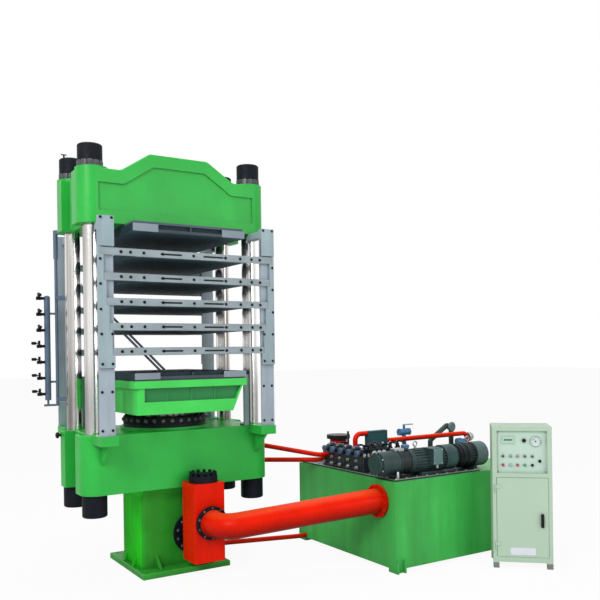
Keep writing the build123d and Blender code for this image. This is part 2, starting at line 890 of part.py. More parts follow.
# Moving table: a flange on a tapered body with a ribbed recess above a proud band, front and back
with BuildPart() as moving_table:
    table_left = table_half_x - table_left_inset
    table_right_top = table_half_x - table_right_inset
    table_right_bottom = table_right_top - table_right_taper
    table_corners = (
        (-table_left, table_bottom),
        (table_right_bottom, table_bottom),
        (table_right_top, table_flange_bottom),
        (-table_left, table_flange_bottom),
    )
    with BuildSketch(Plane.XZ):
        with BuildLine():
            Polyline(*table_corners, close=True)
        make_face()
    extrude(amount=table_body_half_y, both=True)
    fillet(moving_table.edges().filter_by(Axis.Z), table_round)
    band_top = table_bottom + table_band_height
    panel_left = table_panel_left_inset - table_left
    panel_right_bottom = table_right_bottom + table_right_taper * table_band_height / table_body_height
    with BuildSketch(Plane.XZ.offset(table_body_half_y)):
        with BuildLine():
            Polyline(
                (panel_left, band_top),
                (panel_right_bottom - table_panel_right_inset, band_top),
                (table_right_top - table_panel_right_inset, table_flange_bottom),
                (panel_left, table_flange_bottom),
                close=True,
            )
        make_face()
    table_panel = extrude(amount=-table_panel_depth, mode=Mode.SUBTRACT)
    mirror(table_panel, about=Plane.XZ, mode=Mode.SUBTRACT)
    with BuildSketch(Plane.XZ.offset(table_body_half_y - table_panel_depth)):
        with Locations(((panel_left + panel_right_bottom) / 2, band_top)):
            with GridLocations(table_rib_pitch, table_rib_pitch, table_rib_count, 1):
                Rectangle(table_rib, table_flange_bottom - band_top, align=(Align.CENTER, Align.MIN))
    table_ribs = extrude(amount=table_rib_rise)
    mirror(table_ribs, about=Plane.XZ)
    with BuildSketch(Plane.XY.offset(table_flange_bottom)):
        Rectangle(2 * table_half_x, 2 * table_half_y)
    extrude(amount=table_flange_height)
moving_table.part.label = "moving_table"
export_step(moving_table.part, "parts/moving_table.step")

# Hanging hot platens and the slotted bars that carry them on the hooks
for n in range(platen_count):
    with BuildPart() as hot_platen:
        with BuildSketch(Plane.XY.offset(platen_level[n] - platen_thickness / 2)) as platen_plan:
            Rectangle(2 * platen_half_x, 2 * platen_half_y)
            chamfer(platen_plan.vertices(), platen_corner)
        extrude(amount=platen_thickness)
        with BuildSketch(Plane.YZ.offset(-platen_half_x)):
            with Locations((0, platen_level[n])):
                with GridLocations(steam_bore_spacing, steam_bore_spacing, 2, 1):
                    Circle(steam_bore_radius)
        extrude(amount=steam_bore_depth, mode=Mode.SUBTRACT)
    hot_platen.part.label = f"hot_platen_{n + 1}"
    export_step(hot_platen.part, f"parts/hot_platen_{n + 1}.step")

    with BuildPart() as hanger_bars:
        with BuildSketch(Plane.XZ.offset(platen_half_y)):
            with Locations((0, platen_level[n])):
                Rectangle(2 * ear_reach[n], bar_height)
            with Locations((bar_slot_shift, platen_level[n])):
                with GridLocations(2 * bar_slot_place, bar_slot_length, 2, 1):
                    SlotOverall(bar_slot_length, 2 * bar_slot_radius, mode=Mode.SUBTRACT)
        extrude(amount=hook_thickness - 2 * slide_gap)
        mirror(about=Plane.XZ)
    hanger_bars.part.label = f"hanger_bars_{n + 1}"
    export_step(hanger_bars.part, f"parts/hanger_bars_{n + 1}.step")

# Steam header, its riser, and the arms that tie the riser to the rear left column and boss
riser_reach = Vector(riser_x + column_x, riser_y - column_y).length
header_height = header_top - header_bottom
with BuildPart() as steam_header:
    with BuildSketch(Plane.XY.offset(riser_bottom)):
        with Locations((riser_x, riser_y)):
            Circle(riser_radius)
    extrude(amount=riser_top - riser_bottom)
    with BuildSketch(Plane.XY.offset(riser_top)):
        with Locations((riser_x, riser_y)):
            Circle(riser_sleeve_radius)
    extrude(amount=-riser_sleeve_length)
    with BuildSketch(Plane.XY.offset(header_bottom)):
        with Locations((header_x, riser_y)):
            Circle(header_radius)
    extrude(amount=header_height)
    header_rim = steam_header.edges().filter_by(GeomType.CIRCLE).filter_by_position(
        Axis.Z, header_top, header_top
    )
    chamfer(header_rim, header_cap)
    for share in link_heights_share:
        with BuildSketch(Plane.YZ.offset(header_x)):
            with Locations((riser_y, header_bottom + share * header_height)):
                Circle(link_radius)
        extrude(amount=riser_x - header_x)
    with BuildSketch(Plane.XY.offset(riser_bottom)):
        with Locations((header_x, riser_y)):
            Circle(link_radius)
    extrude(amount=header_bottom - riser_bottom)
    with BuildSketch(Plane.YZ.offset(header_x - tee_length / 2)):
        with Locations((riser_y, riser_bottom)):
            Circle(link_radius)
    extrude(amount=riser_x - header_x + tee_length / 2 + riser_radius)
    for arm_bottom, carrier_x, carrier_radius in (
        (riser_bottom + clamp_height, column_x, column_radius),
        (header_top - clamp_height, column_x, column_radius),
        (riser_top - clamp_height, boss_x, boss_radius),
    ):
        arm_plane = Plane(
            origin=(riser_x, riser_y, arm_bottom),
            x_dir=(-carrier_x - riser_x, column_y - riser_y, 0),
            z_dir=(0, 0, 1),
        )
        with BuildSketch(arm_plane):
            Rectangle(riser_reach, clamp_width, align=(Align.MIN, Align.CENTER))
        extrude(amount=clamp_height)
        with BuildSketch(Plane.XY.offset(arm_bottom)):
            with Locations((-carrier_x, column_y)):
                Circle(carrier_radius + seat_gap)
        extrude(amount=clamp_height, mode=Mode.SUBTRACT)
steam_header.part.label = "steam_header"
export_step(steam_header.part, "parts/steam_header.step")

# Seven steam valves on the header, one for each hot platen
valve_level = [header_top - valve_top_drop - valve_pitch * n for n in range(valve_count)]
valve_x = header_x - header_radius - valve_stub_length + valve_body_length / 2
with BuildPart() as steam_valves:
    for n in range(valve_count):
        with BuildSketch(Plane.YZ.offset(header_x)):
            with Locations((riser_y, valve_level[n])):
                Circle(valve_stub_radius)
        extrude(amount=-header_radius - valve_stub_length)
        with BuildSketch(Plane.YZ.offset(valve_x + valve_body_length / 2)):
            with Locations((riser_y, valve_level[n])):
                Circle(valve_body_radius)
        extrude(amount=-valve_body_length)
        with BuildSketch(Plane.XY.offset(valve_level[n])):
            with Locations((valve_x, riser_y)):
                Circle(valve_bonnet_radius)
        extrude(amount=valve_body_radius + valve_bonnet_height)
        with BuildSketch(Plane.XY.offset(valve_level[n] + valve_body_radius + valve_bonnet_height)):
            with Locations((valve_x, riser_y)):
                Circle(valve_stem_radius)
        extrude(amount=lever_hub_height + seat_gap)
    with BuildSketch(Plane.XY.offset(header_bottom)):
        with Locations((header_x, riser_y)):
            Circle(header_radius + seat_gap)
    extrude(amount=header_height, mode=Mode.SUBTRACT)
steam_valves.part.label = "steam_valves"
export_step(steam_valves.part, "parts/steam_valves.step")

# Valve levers: the first three point forward, shut, and the others lie along their pipe, open
for n in range(valve_count):
    lever_bottom = valve_level[n] + valve_body_radius + valve_bonnet_height + seat_gap
    lever_dir = (0, -1, 0) if n < shut_valves else (-1, 0, 0)
    lever_plane = Plane(origin=(valve_x, riser_y, lever_bottom), x_dir=lever_dir, z_dir=(0, 0, 1))
    with BuildPart() as steam_lever:
        with BuildSketch(lever_plane):
            Circle(lever_hub_radius)
        extrude(amount=lever_hub_height)
        with BuildSketch(lever_plane):
            with Locations((lever_length / 2, 0)):
                SlotOverall(lever_length, lever_width)
        extrude(amount=lever_thickness)
        with BuildSketch(lever_plane):
            Circle(valve_stem_radius + pin_gap)
        extrude(amount=lever_hub_height, mode=Mode.SUBTRACT)
    steam_lever.part.label = f"steam_lever_{n + 1}"
    export_step(steam_lever.part, f"parts/steam_lever_{n + 1}.step")

# Prefill valve block in front of the pedestal
block_front = valve_block_back + valve_block_depth
block_top = valve_block_bottom + valve_block_height
with BuildPart() as prefill_valve:
    with BuildSketch(Plane.XY.offset(valve_block_bottom)):
        with Locations((valve_block_x, -valve_block_back)):
            Rectangle(valve_block_width, valve_block_depth, align=(Align.CENTER, Align.MAX))
    extrude(amount=valve_block_height)
    fillet(prefill_valve.edges().filter_by(Axis.Z), valve_block_round)
    with BuildSketch(Plane.XZ.offset(block_front)):
        with Locations((valve_block_x + front_port_shift, pipe_start_z)):
            Circle(pipe_radius - pipe_wall)
    extrude(amount=-valve_block_depth / 2, mode=Mode.SUBTRACT)
    with BuildSketch(Plane.XZ.offset(valve_block_back)):
        with Locations((valve_block_x, port_height)):
            Circle(port_bore)
    extrude(amount=valve_block_depth / 2, mode=Mode.SUBTRACT)
prefill_valve.part.label = "prefill_valve"
export_step(prefill_valve.part, "parts/prefill_valve.step")

# Black flanges of the prefill valve: bolted cover, front pipe ring, and the port flange with its neck
with BuildPart() as prefill_flanges:
    cover_x = valve_block_x
    cover_y = -valve_block_back - valve_block_depth / 2
    with BuildSketch(Plane.XY.offset(block_top)):
        with Locations((cover_x, cover_y)):
            Circle(valve_cap_radius)
    extrude(amount=valve_cap_height)
    with BuildSketch(Plane.XY.offset(block_top + valve_cap_height)):
        with Locations((cover_x, cover_y)):
            Circle(valve_cap_boss_radius)
    extrude(amount=valve_cap_boss_height)
    with BuildSketch(Plane.XY.offset(block_top + valve_cap_height)):
        with Locations((cover_x, cover_y)):
            with PolarLocations(valve_cap_bolt_circle, valve_cap_bolts):
                RegularPolygon(valve_cap_bolt_radius, 6)
    extrude(amount=valve_cap_bolt_height)
    with BuildSketch(Plane.XZ.offset(block_front)):
        with Locations((valve_block_x + front_port_shift, pipe_start_z)):
            Circle(front_ring_radius)
            Circle(pipe_radius - pipe_wall, mode=Mode.SUBTRACT)
    extrude(amount=front_ring_thickness)
    with BuildSketch(Plane.XZ.offset(pedestal_front)):
        with Locations((valve_block_x, port_height)):
            Circle(port_radius)
    extrude(amount=port_thickness)
    with BuildSketch(Plane.XZ.offset(pedestal_front)):
        with Locations((valve_block_x, port_height)):
            Circle(neck_radius)
    extrude(amount=valve_block_back - pedestal_front)
    with BuildSketch(Plane.XZ.offset(pedestal_front)):
        with Locations((valve_block_x, port_height)):
            Circle(port_bore)
    extrude(amount=valve_block_back - pedestal_front, mode=Mode.SUBTRACT)
prefill_flanges.part.label = "prefill_flanges"
export_step(prefill_flanges.part, "parts/prefill_flanges.step")

# Large suction pipe from the prefill valve to the tank, bent at both ends
pipe_x = valve_block_x + front_port_shift
pipe_start = block_front + front_ring_thickness
pipe_route = (
    (pipe_x, -pipe_start, pipe_start_z),
    (pipe_x, -pipe_start - pipe_out, pipe_start_z),
    (tank_left - pipe_end_run, pipe_end_y, pipe_end_z),
    (tank_left, pipe_end_y, pipe_end_z),
)
with BuildPart() as suction_pipe:
    with BuildLine() as pipe_line:
        FilletPolyline(*pipe_route, radius=(pipe_start_bend, pipe_end_bend))
    with BuildSketch(Plane(origin=pipe_line.line @ 0, z_dir=pipe_line.line % 0)):
        Circle(pipe_radius)
        Circle(pipe_radius - pipe_wall, mode=Mode.SUBTRACT)
    sweep()
    with BuildSketch(Plane.YZ.offset(tank_left)):
        with Locations((pipe_end_y, pipe_end_z)):
            Circle(tank_flange_radius)
            Circle(pipe_radius - pipe_wall, mode=Mode.SUBTRACT)
    extrude(amount=-tank_flange_thickness)
    with BuildSketch(Plane.YZ.offset(tank_left - tank_flange_thickness)):
        with Locations((pipe_end_y, pipe_end_z)):
            with PolarLocations(tank_flange_radius - flange_bolt_inset, flange_bolt_count):
                RegularPolygon(flange_bolt_radius, 6)
    extrude(amount=-flange_bolt_height)
suction_pipe.part.label = "suction_pipe"
export_step(suction_pipe.part, "parts/suction_pipe.step")

# Pressure pipes to the lower crosshead and the drain pipe to the pedestal
pocket_wall = casting_half_x - pocket_depth
pressure_routes = [
    (
        (pocket_wall, small_pipe_y[n], small_pipe_z[n]),
        (pocket_wall + small_pipe_stub, small_pipe_y[n], small_pipe_z[n]),
        (bank_left - small_pipe_stub, small_pipe_tank_y[n], small_pipe_tank_z[n]),
        (bank_left, small_pipe_tank_y[n], small_pipe_tank_z[n]),
    )
    for n in range(len(small_pipe_z))
]
pressure_routes.append(
    (
        (pedestal_half_width, drain_y, drain_z),
        (pedestal_half_width + small_pipe_stub, drain_y, drain_z),
        (tank_left - small_pipe_stub, drain_end_y, drain_end_z),
        (tank_left, drain_end_y, drain_end_z),
    )
)
with BuildPart() as pressure_pipes:
    for route in pressure_routes:
        with BuildLine() as small_line:
            FilletPolyline(*route, radius=small_pipe_bend)
        with BuildSketch(Plane(origin=small_line.line @ 0, z_dir=small_line.line % 0)):
            Circle(small_pipe_radius)
        sweep()
pressure_pipes.part.label = "pressure_pipes"
export_step(pressure_pipes.part, "parts/pressure_pipes.step")

# Oil tank: a welded shell with a mouth under the lid, on four ribbed feet
tank_x = (tank_left + tank_right) / 2
tank_y = (tank_front + tank_back) / 2
tank_width = tank_right - tank_left
tank_depth = tank_back - tank_front
with BuildPart() as oil_tank:
    with BuildSketch(Plane.XY.offset(tank_bottom)):
        with Locations((tank_x, tank_y)):
            Rectangle(tank_width, tank_depth)
    extrude(amount=tank_top - tank_bottom)
    with BuildSketch(Plane.XY.offset(tank_bottom + tank_wall)):
        with Locations((tank_x, tank_y)):
            Rectangle(tank_width - 2 * tank_wall, tank_depth - 2 * tank_wall)
    extrude(amount=tank_top - tank_bottom - 2 * tank_wall, mode=Mode.SUBTRACT)
    with BuildSketch(Plane.XY.offset(tank_top)):
        with Locations(((tank_left + tank_mouth_margin + tank_mouth_right) / 2, tank_y)):
            Rectangle(tank_mouth_right - tank_left - tank_mouth_margin, tank_depth - 2 * tank_mouth_margin)
    extrude(amount=-tank_wall, mode=Mode.SUBTRACT)
    with BuildSketch(Plane.XY):
        with Locations((tank_x, tank_y)):
            with GridLocations(tank_width - tank_foot_width, tank_depth - tank_foot_width, 2, 2):
                Rectangle(tank_foot_width, tank_foot_width)
    extrude(amount=tank_bottom)
    with BuildSketch(Plane.XY):
        for foot_x in (tank_left + tank_foot_width / 2, tank_right - tank_foot_width / 2):
            with Locations((foot_x, tank_front), (foot_x, tank_back)):
                with GridLocations(tank_foot_width - tank_foot_rib, tank_foot_rib, 2, 1):
                    Rectangle(tank_foot_rib, 2 * tank_foot_rib_reach)
    extrude(amount=tank_bottom + tank_foot_rib_height)
    with BuildSketch(Plane.XY.offset(tank_bottom + tank_wall)):
        with Locations((tank_x, tank_y)):
            Rectangle(tank_width - 2 * tank_wall, tank_depth - 2 * tank_wall)
    extrude(amount=tank_foot_rib_height, mode=Mode.SUBTRACT)
    with BuildSketch(Plane.YZ.offset(tank_left)):
        with Locations((pipe_end_y, pipe_end_z)):
            Circle(pipe_radius - pipe_wall)
    extrude(amount=2 * tank_wall, both=True, mode=Mode.SUBTRACT)
oil_tank.part.label = "oil_tank"
export_step(oil_tank.part, "parts/oil_tank.step")

# Lid plate that closes the mouth and carries the valve bank
with BuildPart() as tank_lid:
    with BuildSketch(Plane.XY.offset(tank_top)):
        with Locations((tank_left + lid_inset, tank_front + lid_inset)):
            Rectangle(
                lid_right - tank_left - lid_inset,
                tank_depth - 2 * lid_inset,
                align=(Align.MIN, Align.MIN),
            )
    extrude(amount=lid_thickness)
    chamfer(tank_lid.faces().sort_by(Axis.Z)[-1].edges(), lid_chamfer)
tank_lid.part.label = "tank_lid"
export_step(tank_lid.part, "parts/tank_lid.step")

# Two pump sets in line: pump, bell housing, finned motor and fan cover, and a bent pipe behind them
with BuildPart() as pump_motors:
    set_x = pump_set_x
    axis_z = lid_top + motor_axis_rise
    for pump_length, bell_length, motor_length in zip(pump_lengths, bell_lengths, motor_lengths):
        pump_x = set_x + pump_nose_length
        bell_x = pump_x + pump_length
        motor_x = bell_x + bell_length
        fan_x = motor_x + motor_shield + motor_length
        for round_x, radius, length in (
            (set_x, pump_nose_radius, pump_nose_length),
            (pump_x, pump_radius, pump_length),
            (motor_x, motor_shield_radius, motor_shield),
            (fan_x, fan_cover_radius, fan_cover_length),
        ):
            with BuildSketch(Plane.YZ.offset(round_x)):
                with Locations((pump_set_y, axis_z)):
                    Circle(radius)
            extrude(amount=length)
        with BuildSketch(Plane.YZ.offset(bell_x)):
            with Locations((pump_set_y, axis_z)):
                Circle(bell_small_radius)
        with BuildSketch(Plane.YZ.offset(motor_x - bell_step)):
            with Locations((pump_set_y, axis_z)):
                Circle(motor_radius)
        loft()
        with BuildSketch(Plane.YZ.offset(motor_x - bell_step)):
            with Locations((pump_set_y, axis_z)):
                Circle(motor_radius)
        extrude(amount=bell_step)
        with BuildSketch(Plane.YZ.offset(motor_x + motor_shield)):
            with Locations((pump_set_y, axis_z)):
                Circle(motor_radius)
                with PolarLocations(motor_radius, motor_fin_count):
                    Rectangle(2 * motor_fin_depth, motor_fin_gap, mode=Mode.SUBTRACT)
        extrude(amount=motor_length)
        motor_middle = motor_x + motor_shield + motor_length / 2
        if motor_length > terminal_width:
            with BuildSketch(Plane.XZ.offset(-pump_set_y)):
                with Locations((motor_middle + terminal_shift, axis_z + terminal_rise)):
                    Rectangle(terminal_width, terminal_height)
            extrude(amount=motor_radius + terminal_depth)
        with BuildSketch(Plane.XY.offset(lid_top)):
            with Locations((motor_middle, pump_set_y)):
                Rectangle(motor_foot_share * motor_length, motor_foot_width)
        extrude(amount=motor_axis_rise - motor_radius + motor_fin_depth)
        set_x = fan_x + fan_cover_length + pump_set_gap
    gooseneck_route = (
        (gooseneck_left, gooseneck_y, tank_top),
        (gooseneck_left, gooseneck_y, gooseneck_left_z),
        (gooseneck_crest, gooseneck_y, gooseneck_crest_z),
        (gooseneck_right, gooseneck_y, gooseneck_right_z),
        (gooseneck_right, gooseneck_y, tank_top),
    )
    with BuildLine() as gooseneck_line:
        FilletPolyline(*gooseneck_route, radius=gooseneck_bend)
    with BuildSketch(Plane(origin=gooseneck_line.line @ 0, z_dir=gooseneck_line.line % 0)):
        Circle(gooseneck_radius)
    sweep()
pump_motors.part.label = "pump_motors"
export_step(pump_motors.part, "parts/pump_motors.step")

# Valve bank: a manifold with five solenoid valves, side cartridges, a stem and a side arm of four valves
bank_x = bank_left + bank_width / 2
bank_top = lid_top + bank_height
bank_pitch = bank_length / bank_valve_count
with BuildPart() as valve_bank:
    with BuildSketch(Plane.XY.offset(lid_top)):
        with Locations((bank_x, bank_front)):
            Rectangle(bank_width, bank_length, align=(Align.CENTER, Align.MIN))
    extrude(amount=bank_height)
    for n in range(bank_valve_count):
        valve_y = bank_front + (n + 1 / 2) * bank_pitch
        with BuildSketch(Plane.XY.offset(bank_top)):
            with Locations((bank_x, valve_y)):
                Rectangle(bank_valve_length, bank_valve_width)
        extrude(amount=bank_valve_height)
        with BuildSketch(Plane.YZ.offset(bank_x)):
            with Locations((valve_y, bank_top + bank_valve_height / 2)):
                Circle(solenoid_radius)
        extrude(amount=bank_valve_length / 2 + solenoid_length, both=True)
        with BuildSketch(Plane.YZ.offset(bank_x)):
            with Locations((valve_y, bank_top + bank_valve_height / 2)):
                RegularPolygon(solenoid_nut, 6)
        extrude(amount=bank_valve_length / 2 + solenoid_length + solenoid_nut_length, both=True)
        with BuildSketch(Plane.YZ.offset(bank_left)):
            with Locations((valve_y, lid_top + cartridge_rise)):
                RegularPolygon(cartridge_radius, 6)
        extrude(amount=-cartridge_length)
    with BuildSketch(Plane.XY.offset(bank_top)):
        with Locations((bank_stem_x, bank_front + (bank_valve_count - 2) * bank_pitch)):
            Circle(bank_stem_radius)
    extrude(amount=bank_stem_height)
    with BuildSketch(Plane.XY.offset(lid_top)):
        with Locations((bank_left + bank_width, bank_front)):
            Rectangle(side_bank_length, side_bank_depth, align=(Align.MIN, Align.MIN))
    extrude(amount=side_bank_height)
    side_pitch = side_bank_length / side_valve_count
    side_bank_x = bank_left + bank_width + side_bank_length / 2
    for size, side_z, side_rise in (
        (side_valve_width, lid_top + side_bank_height, side_valve_height),
        (2 * side_cap_radius, lid_top + side_bank_height + side_valve_height, side_cap_height),
    ):
        with BuildSketch(Plane.XY.offset(side_z)):
            with Locations((side_bank_x, bank_front + side_bank_depth / 2)):
                with GridLocations(side_pitch, side_pitch, side_valve_count, 1):
                    RegularPolygon(size / 2, 6)
        extrude(amount=side_rise)
valve_bank.part.label = "valve_bank"
export_step(valve_bank.part, "parts/valve_bank.step")

# Filter canister with its lid
with BuildPart() as filter_canister:
    with BuildSketch(Plane.XY.offset(lid_top)):
        with Locations((filter_x, filter_y)):
            Circle(filter_radius)
    extrude(amount=filter_height)
    with BuildSketch(Plane.XY.offset(lid_top + filter_height)):
        with Locations((filter_x, filter_y)):
            Circle(filter_cap_radius)
    extrude(amount=filter_cap_height)
filter_canister.part.label = "filter_canister"
export_step(filter_canister.part, "parts/filter_canister.step")

# Oil cooler: a rimmed case standing on the lid
with BuildPart() as oil_cooler:
    cooler_x = cooler_left + cooler_width / 2
    cooler_z = lid_top + cooler_height / 2
    with BuildSketch(Plane.XZ.offset(-cooler_front)):
        with Locations((cooler_x, cooler_z)):
            Rectangle(cooler_width, cooler_height)
    extrude(amount=-cooler_depth)
    cooler_back = -cooler_front - cooler_depth
    with BuildSketch(Plane.XZ.offset(-cooler_front), Plane.XZ.offset(cooler_back + cooler_recess)):
        with Locations((cooler_x, cooler_z)):
            Rectangle(cooler_width - 2 * cooler_rim, cooler_height - 2 * cooler_rim)
    extrude(amount=-cooler_recess, mode=Mode.SUBTRACT)
oil_cooler.part.label = "oil_cooler"
export_step(oil_cooler.part, "parts/oil_cooler.step")

# Return pipe: from the tank top to the cooler, and on from the cooler to the valve bank
with BuildPart() as return_pipe:
    for return_route in (
        (
            (cooler_left + cooler_width, return_y, return_z),
            (return_right, return_y, return_z),
            (return_right, return_y, tank_top),
        ),
        (
            (cooler_left, return_y, return_elbow_z),
            (return_left, return_y, return_elbow_z),
            (return_left, return_y, bank_top),
        ),
    ):
        with BuildLine() as return_line:
            FilletPolyline(*return_route, radius=return_bend)
        with BuildSketch(Plane(origin=return_line.line @ 0, z_dir=return_line.line % 0)):
            Circle(return_radius)
        sweep()
return_pipe.part.label = "return_pipe"
export_step(return_pipe.part, "parts/return_pipe.step")

# Stop valve on its riser
stop_z = lid_top + stop_riser_height + stop_body_radius / 2
with BuildPart() as stop_valve:
    with BuildSketch(Plane.XY.offset(lid_top)):
        with Locations((stop_x, stop_y)):
            Circle(stop_riser_radius)
    extrude(amount=stop_z - lid_top)
    with BuildSketch(Plane.YZ.offset(stop_x)):
        with Locations((stop_y, stop_z)):
            Circle(stop_body_radius)
    extrude(amount=stop_body_length / 2, both=True)
    for side in (-1, 1):
        with BuildSketch(Plane.YZ.offset(stop_x + side * stop_body_length / 2)):
            with Locations((stop_y, stop_z)):
                RegularPolygon(stop_collar_radius, 6)
        extrude(amount=-side * stop_collar_length)
    with BuildSketch(Plane.XY.offset(stop_z)):
        with Locations((stop_x, stop_y)):
            Circle(stop_neck_radius)
    extrude(amount=stop_body_radius + stop_neck_height)
    with BuildSketch(Plane.XY.offset(stop_z + stop_body_radius + stop_neck_height)):
        with Locations((stop_x, stop_y)):
            Circle(stop_stem_radius)
    extrude(amount=stop_lever_thickness)
stop_valve.part.label = "stop_valve"
export_step(stop_valve.part, "parts/stop_valve.step")

# Lever of the stop valve
with BuildPart() as stop_valve_lever:
    lever_base = Plane(origin=(stop_x, stop_y, stop_z + stop_body_radius + stop_neck_height))
    with BuildSketch(lever_base):
        Circle(stop_neck_radius)
        with Locations((stop_lever_length / 2, 0)):
            SlotOverall(stop_lever_length, stop_lever_width)
        Circle(stop_stem_radius + pin_gap, mode=Mode.SUBTRACT)
    extrude(amount=stop_lever_thickness)
stop_valve_lever.part.label = "stop_valve_lever"
export_step(stop_valve_lever.part, "parts/stop_valve_lever.step")

# Planes of the turned cabinet: its floor and its upright front
turn = radians(cabinet_turn)
cabinet_floor = Plane(origin=(cabinet_x, cabinet_y, 0), x_dir=(cos(turn), sin(turn), 0), z_dir=(0, 0, 1))
cabinet_front = Plane(
    origin=(cabinet_x, cabinet_y, 0), x_dir=(cos(turn), sin(turn), 0), z_dir=(sin(turn), -cos(turn), 0)
)
panel_face = cabinet_front.offset(-panel_recess)
cabinet_middle = cabinet_width / 2
panel_width = cabinet_width - 2 * cabinet_rim
panel_height = panel_top - panel_bottom
panel_z = (panel_bottom + panel_top) / 2
doorway_width = cabinet_width - 2 * door_side
doorway_height = door_top - door_bottom
door_z = (door_bottom + door_top) / 2
hinge_levels = (door_bottom + hinge_inset, door_top - hinge_inset)

# Cabinet shell: a hollow case with a collar round the panel, a doorway, legs and hinge halves
with BuildPart() as cabinet_shell:
    with BuildSketch(cabinet_front):
        with Locations((cabinet_middle, cabinet_leg + cabinet_height / 2)):
            Rectangle(cabinet_width, cabinet_height)
    extrude(amount=-cabinet_depth)
    with BuildSketch(cabinet_front.offset(-cabinet_wall)):
        with Locations((cabinet_middle, cabinet_leg + cabinet_height / 2)):
            Rectangle(cabinet_width - 2 * cabinet_wall, cabinet_height - 2 * cabinet_wall)
    extrude(amount=2 * cabinet_wall - cabinet_depth, mode=Mode.SUBTRACT)
    with BuildSketch(cabinet_front):
        with Locations((cabinet_middle, panel_z)):
            Rectangle(panel_width + 2 * cabinet_wall, panel_height + 2 * cabinet_wall)
    extrude(amount=-panel_recess)
    with BuildSketch(cabinet_front):
        with Locations((cabinet_middle, panel_z)):
            Rectangle(panel_width, panel_height)
        with Locations((cabinet_middle, door_z)):
            Rectangle(doorway_width, doorway_height)
    extrude(amount=-panel_recess, mode=Mode.SUBTRACT)
    with BuildSketch(cabinet_floor):
        with Locations((cabinet_middle, cabinet_depth / 2)):
            with GridLocations(cabinet_width - cabinet_leg_size, cabinet_depth - cabinet_leg_size, 2, 2):
                Rectangle(cabinet_leg_size, cabinet_leg_size)
    extrude(amount=cabinet_leg)
    for hinge_z in hinge_levels:
        with BuildSketch(cabinet_floor.offset(hinge_z - hinge_length / 2)):
            with Locations((hinge_inset_x, -hinge_stand)):
                Circle(hinge_radius)
                Rectangle(hinge_foot, hinge_stand, align=(Align.CENTER, Align.MIN))
        extrude(amount=hinge_length / 2)
        with BuildSketch(cabinet_floor.offset(hinge_z)):
            with Locations((hinge_inset_x, -hinge_stand)):
                Circle(hinge_pin_radius)
        extrude(amount=hinge_length / 2)
cabinet_shell.part.label = "cabinet_shell"
export_step(cabinet_shell.part, "parts/cabinet_shell.step")

# Cabinet door: a folded tray with its hinge halves and the hole for the handle shaft
with BuildPart() as cabinet_door:
    with BuildSketch(cabinet_front.offset(door_stand)):
        with Locations((cabinet_middle, door_z)):
            Rectangle(doorway_width - 2 * door_play, doorway_height - 2 * door_play)
    extrude(amount=-door_thickness)
    with BuildSketch(cabinet_front.offset(door_stand - door_skin)):
        with Locations((cabinet_middle, door_z)):
            Rectangle(
                doorway_width - 2 * door_play - 2 * door_skin,
                doorway_height - 2 * door_play - 2 * door_skin,
            )
    extrude(amount=-door_thickness, mode=Mode.SUBTRACT)
    for hinge_z in hinge_levels:
        with BuildSketch(cabinet_floor.offset(hinge_z + seat_gap)):
            with Locations((hinge_inset_x, -hinge_stand)):
                Circle(hinge_radius)
            with Locations((hinge_inset_x, -door_stand)):
                Rectangle(hinge_leaf, hinge_leaf_thickness, align=(Align.MIN, Align.MAX))
            with Locations((hinge_inset_x, -hinge_stand)):
                Circle(hinge_pin_radius + pin_gap, mode=Mode.SUBTRACT)
        extrude(amount=hinge_length / 2 - seat_gap)
    with BuildSketch(cabinet_front.offset(door_stand)):
        with Locations((handle_place_x, handle_place_z)):
            Circle(handle_shaft_radius + pin_gap)
    extrude(amount=-door_skin, mode=Mode.SUBTRACT)
cabinet_door.part.label = "cabinet_door"
export_step(cabinet_door.part, "parts/cabinet_door.step")

# Door handle on its shaft
with BuildPart() as door_handle:
    with BuildSketch(cabinet_front.offset(door_stand)):
        with Locations((handle_place_x, handle_place_z)):
            Circle(handle_hub_radius)
    extrude(amount=handle_hub_length)
    with BuildSketch(cabinet_front.offset(door_stand + handle_hub_length)):
        with Locations((handle_place_x, handle_place_z)):
            RectangleRounded(handle_width, handle_height, handle_round)
    extrude(amount=handle_thickness)
    with BuildSketch(cabinet_front.offset(door_stand)):
        with Locations((handle_place_x, handle_place_z)):
            Circle(handle_shaft_radius)
    extrude(amount=-handle_shaft_length)
door_handle.part.label = "door_handle"
export_step(door_handle.part, "parts/door_handle.step")

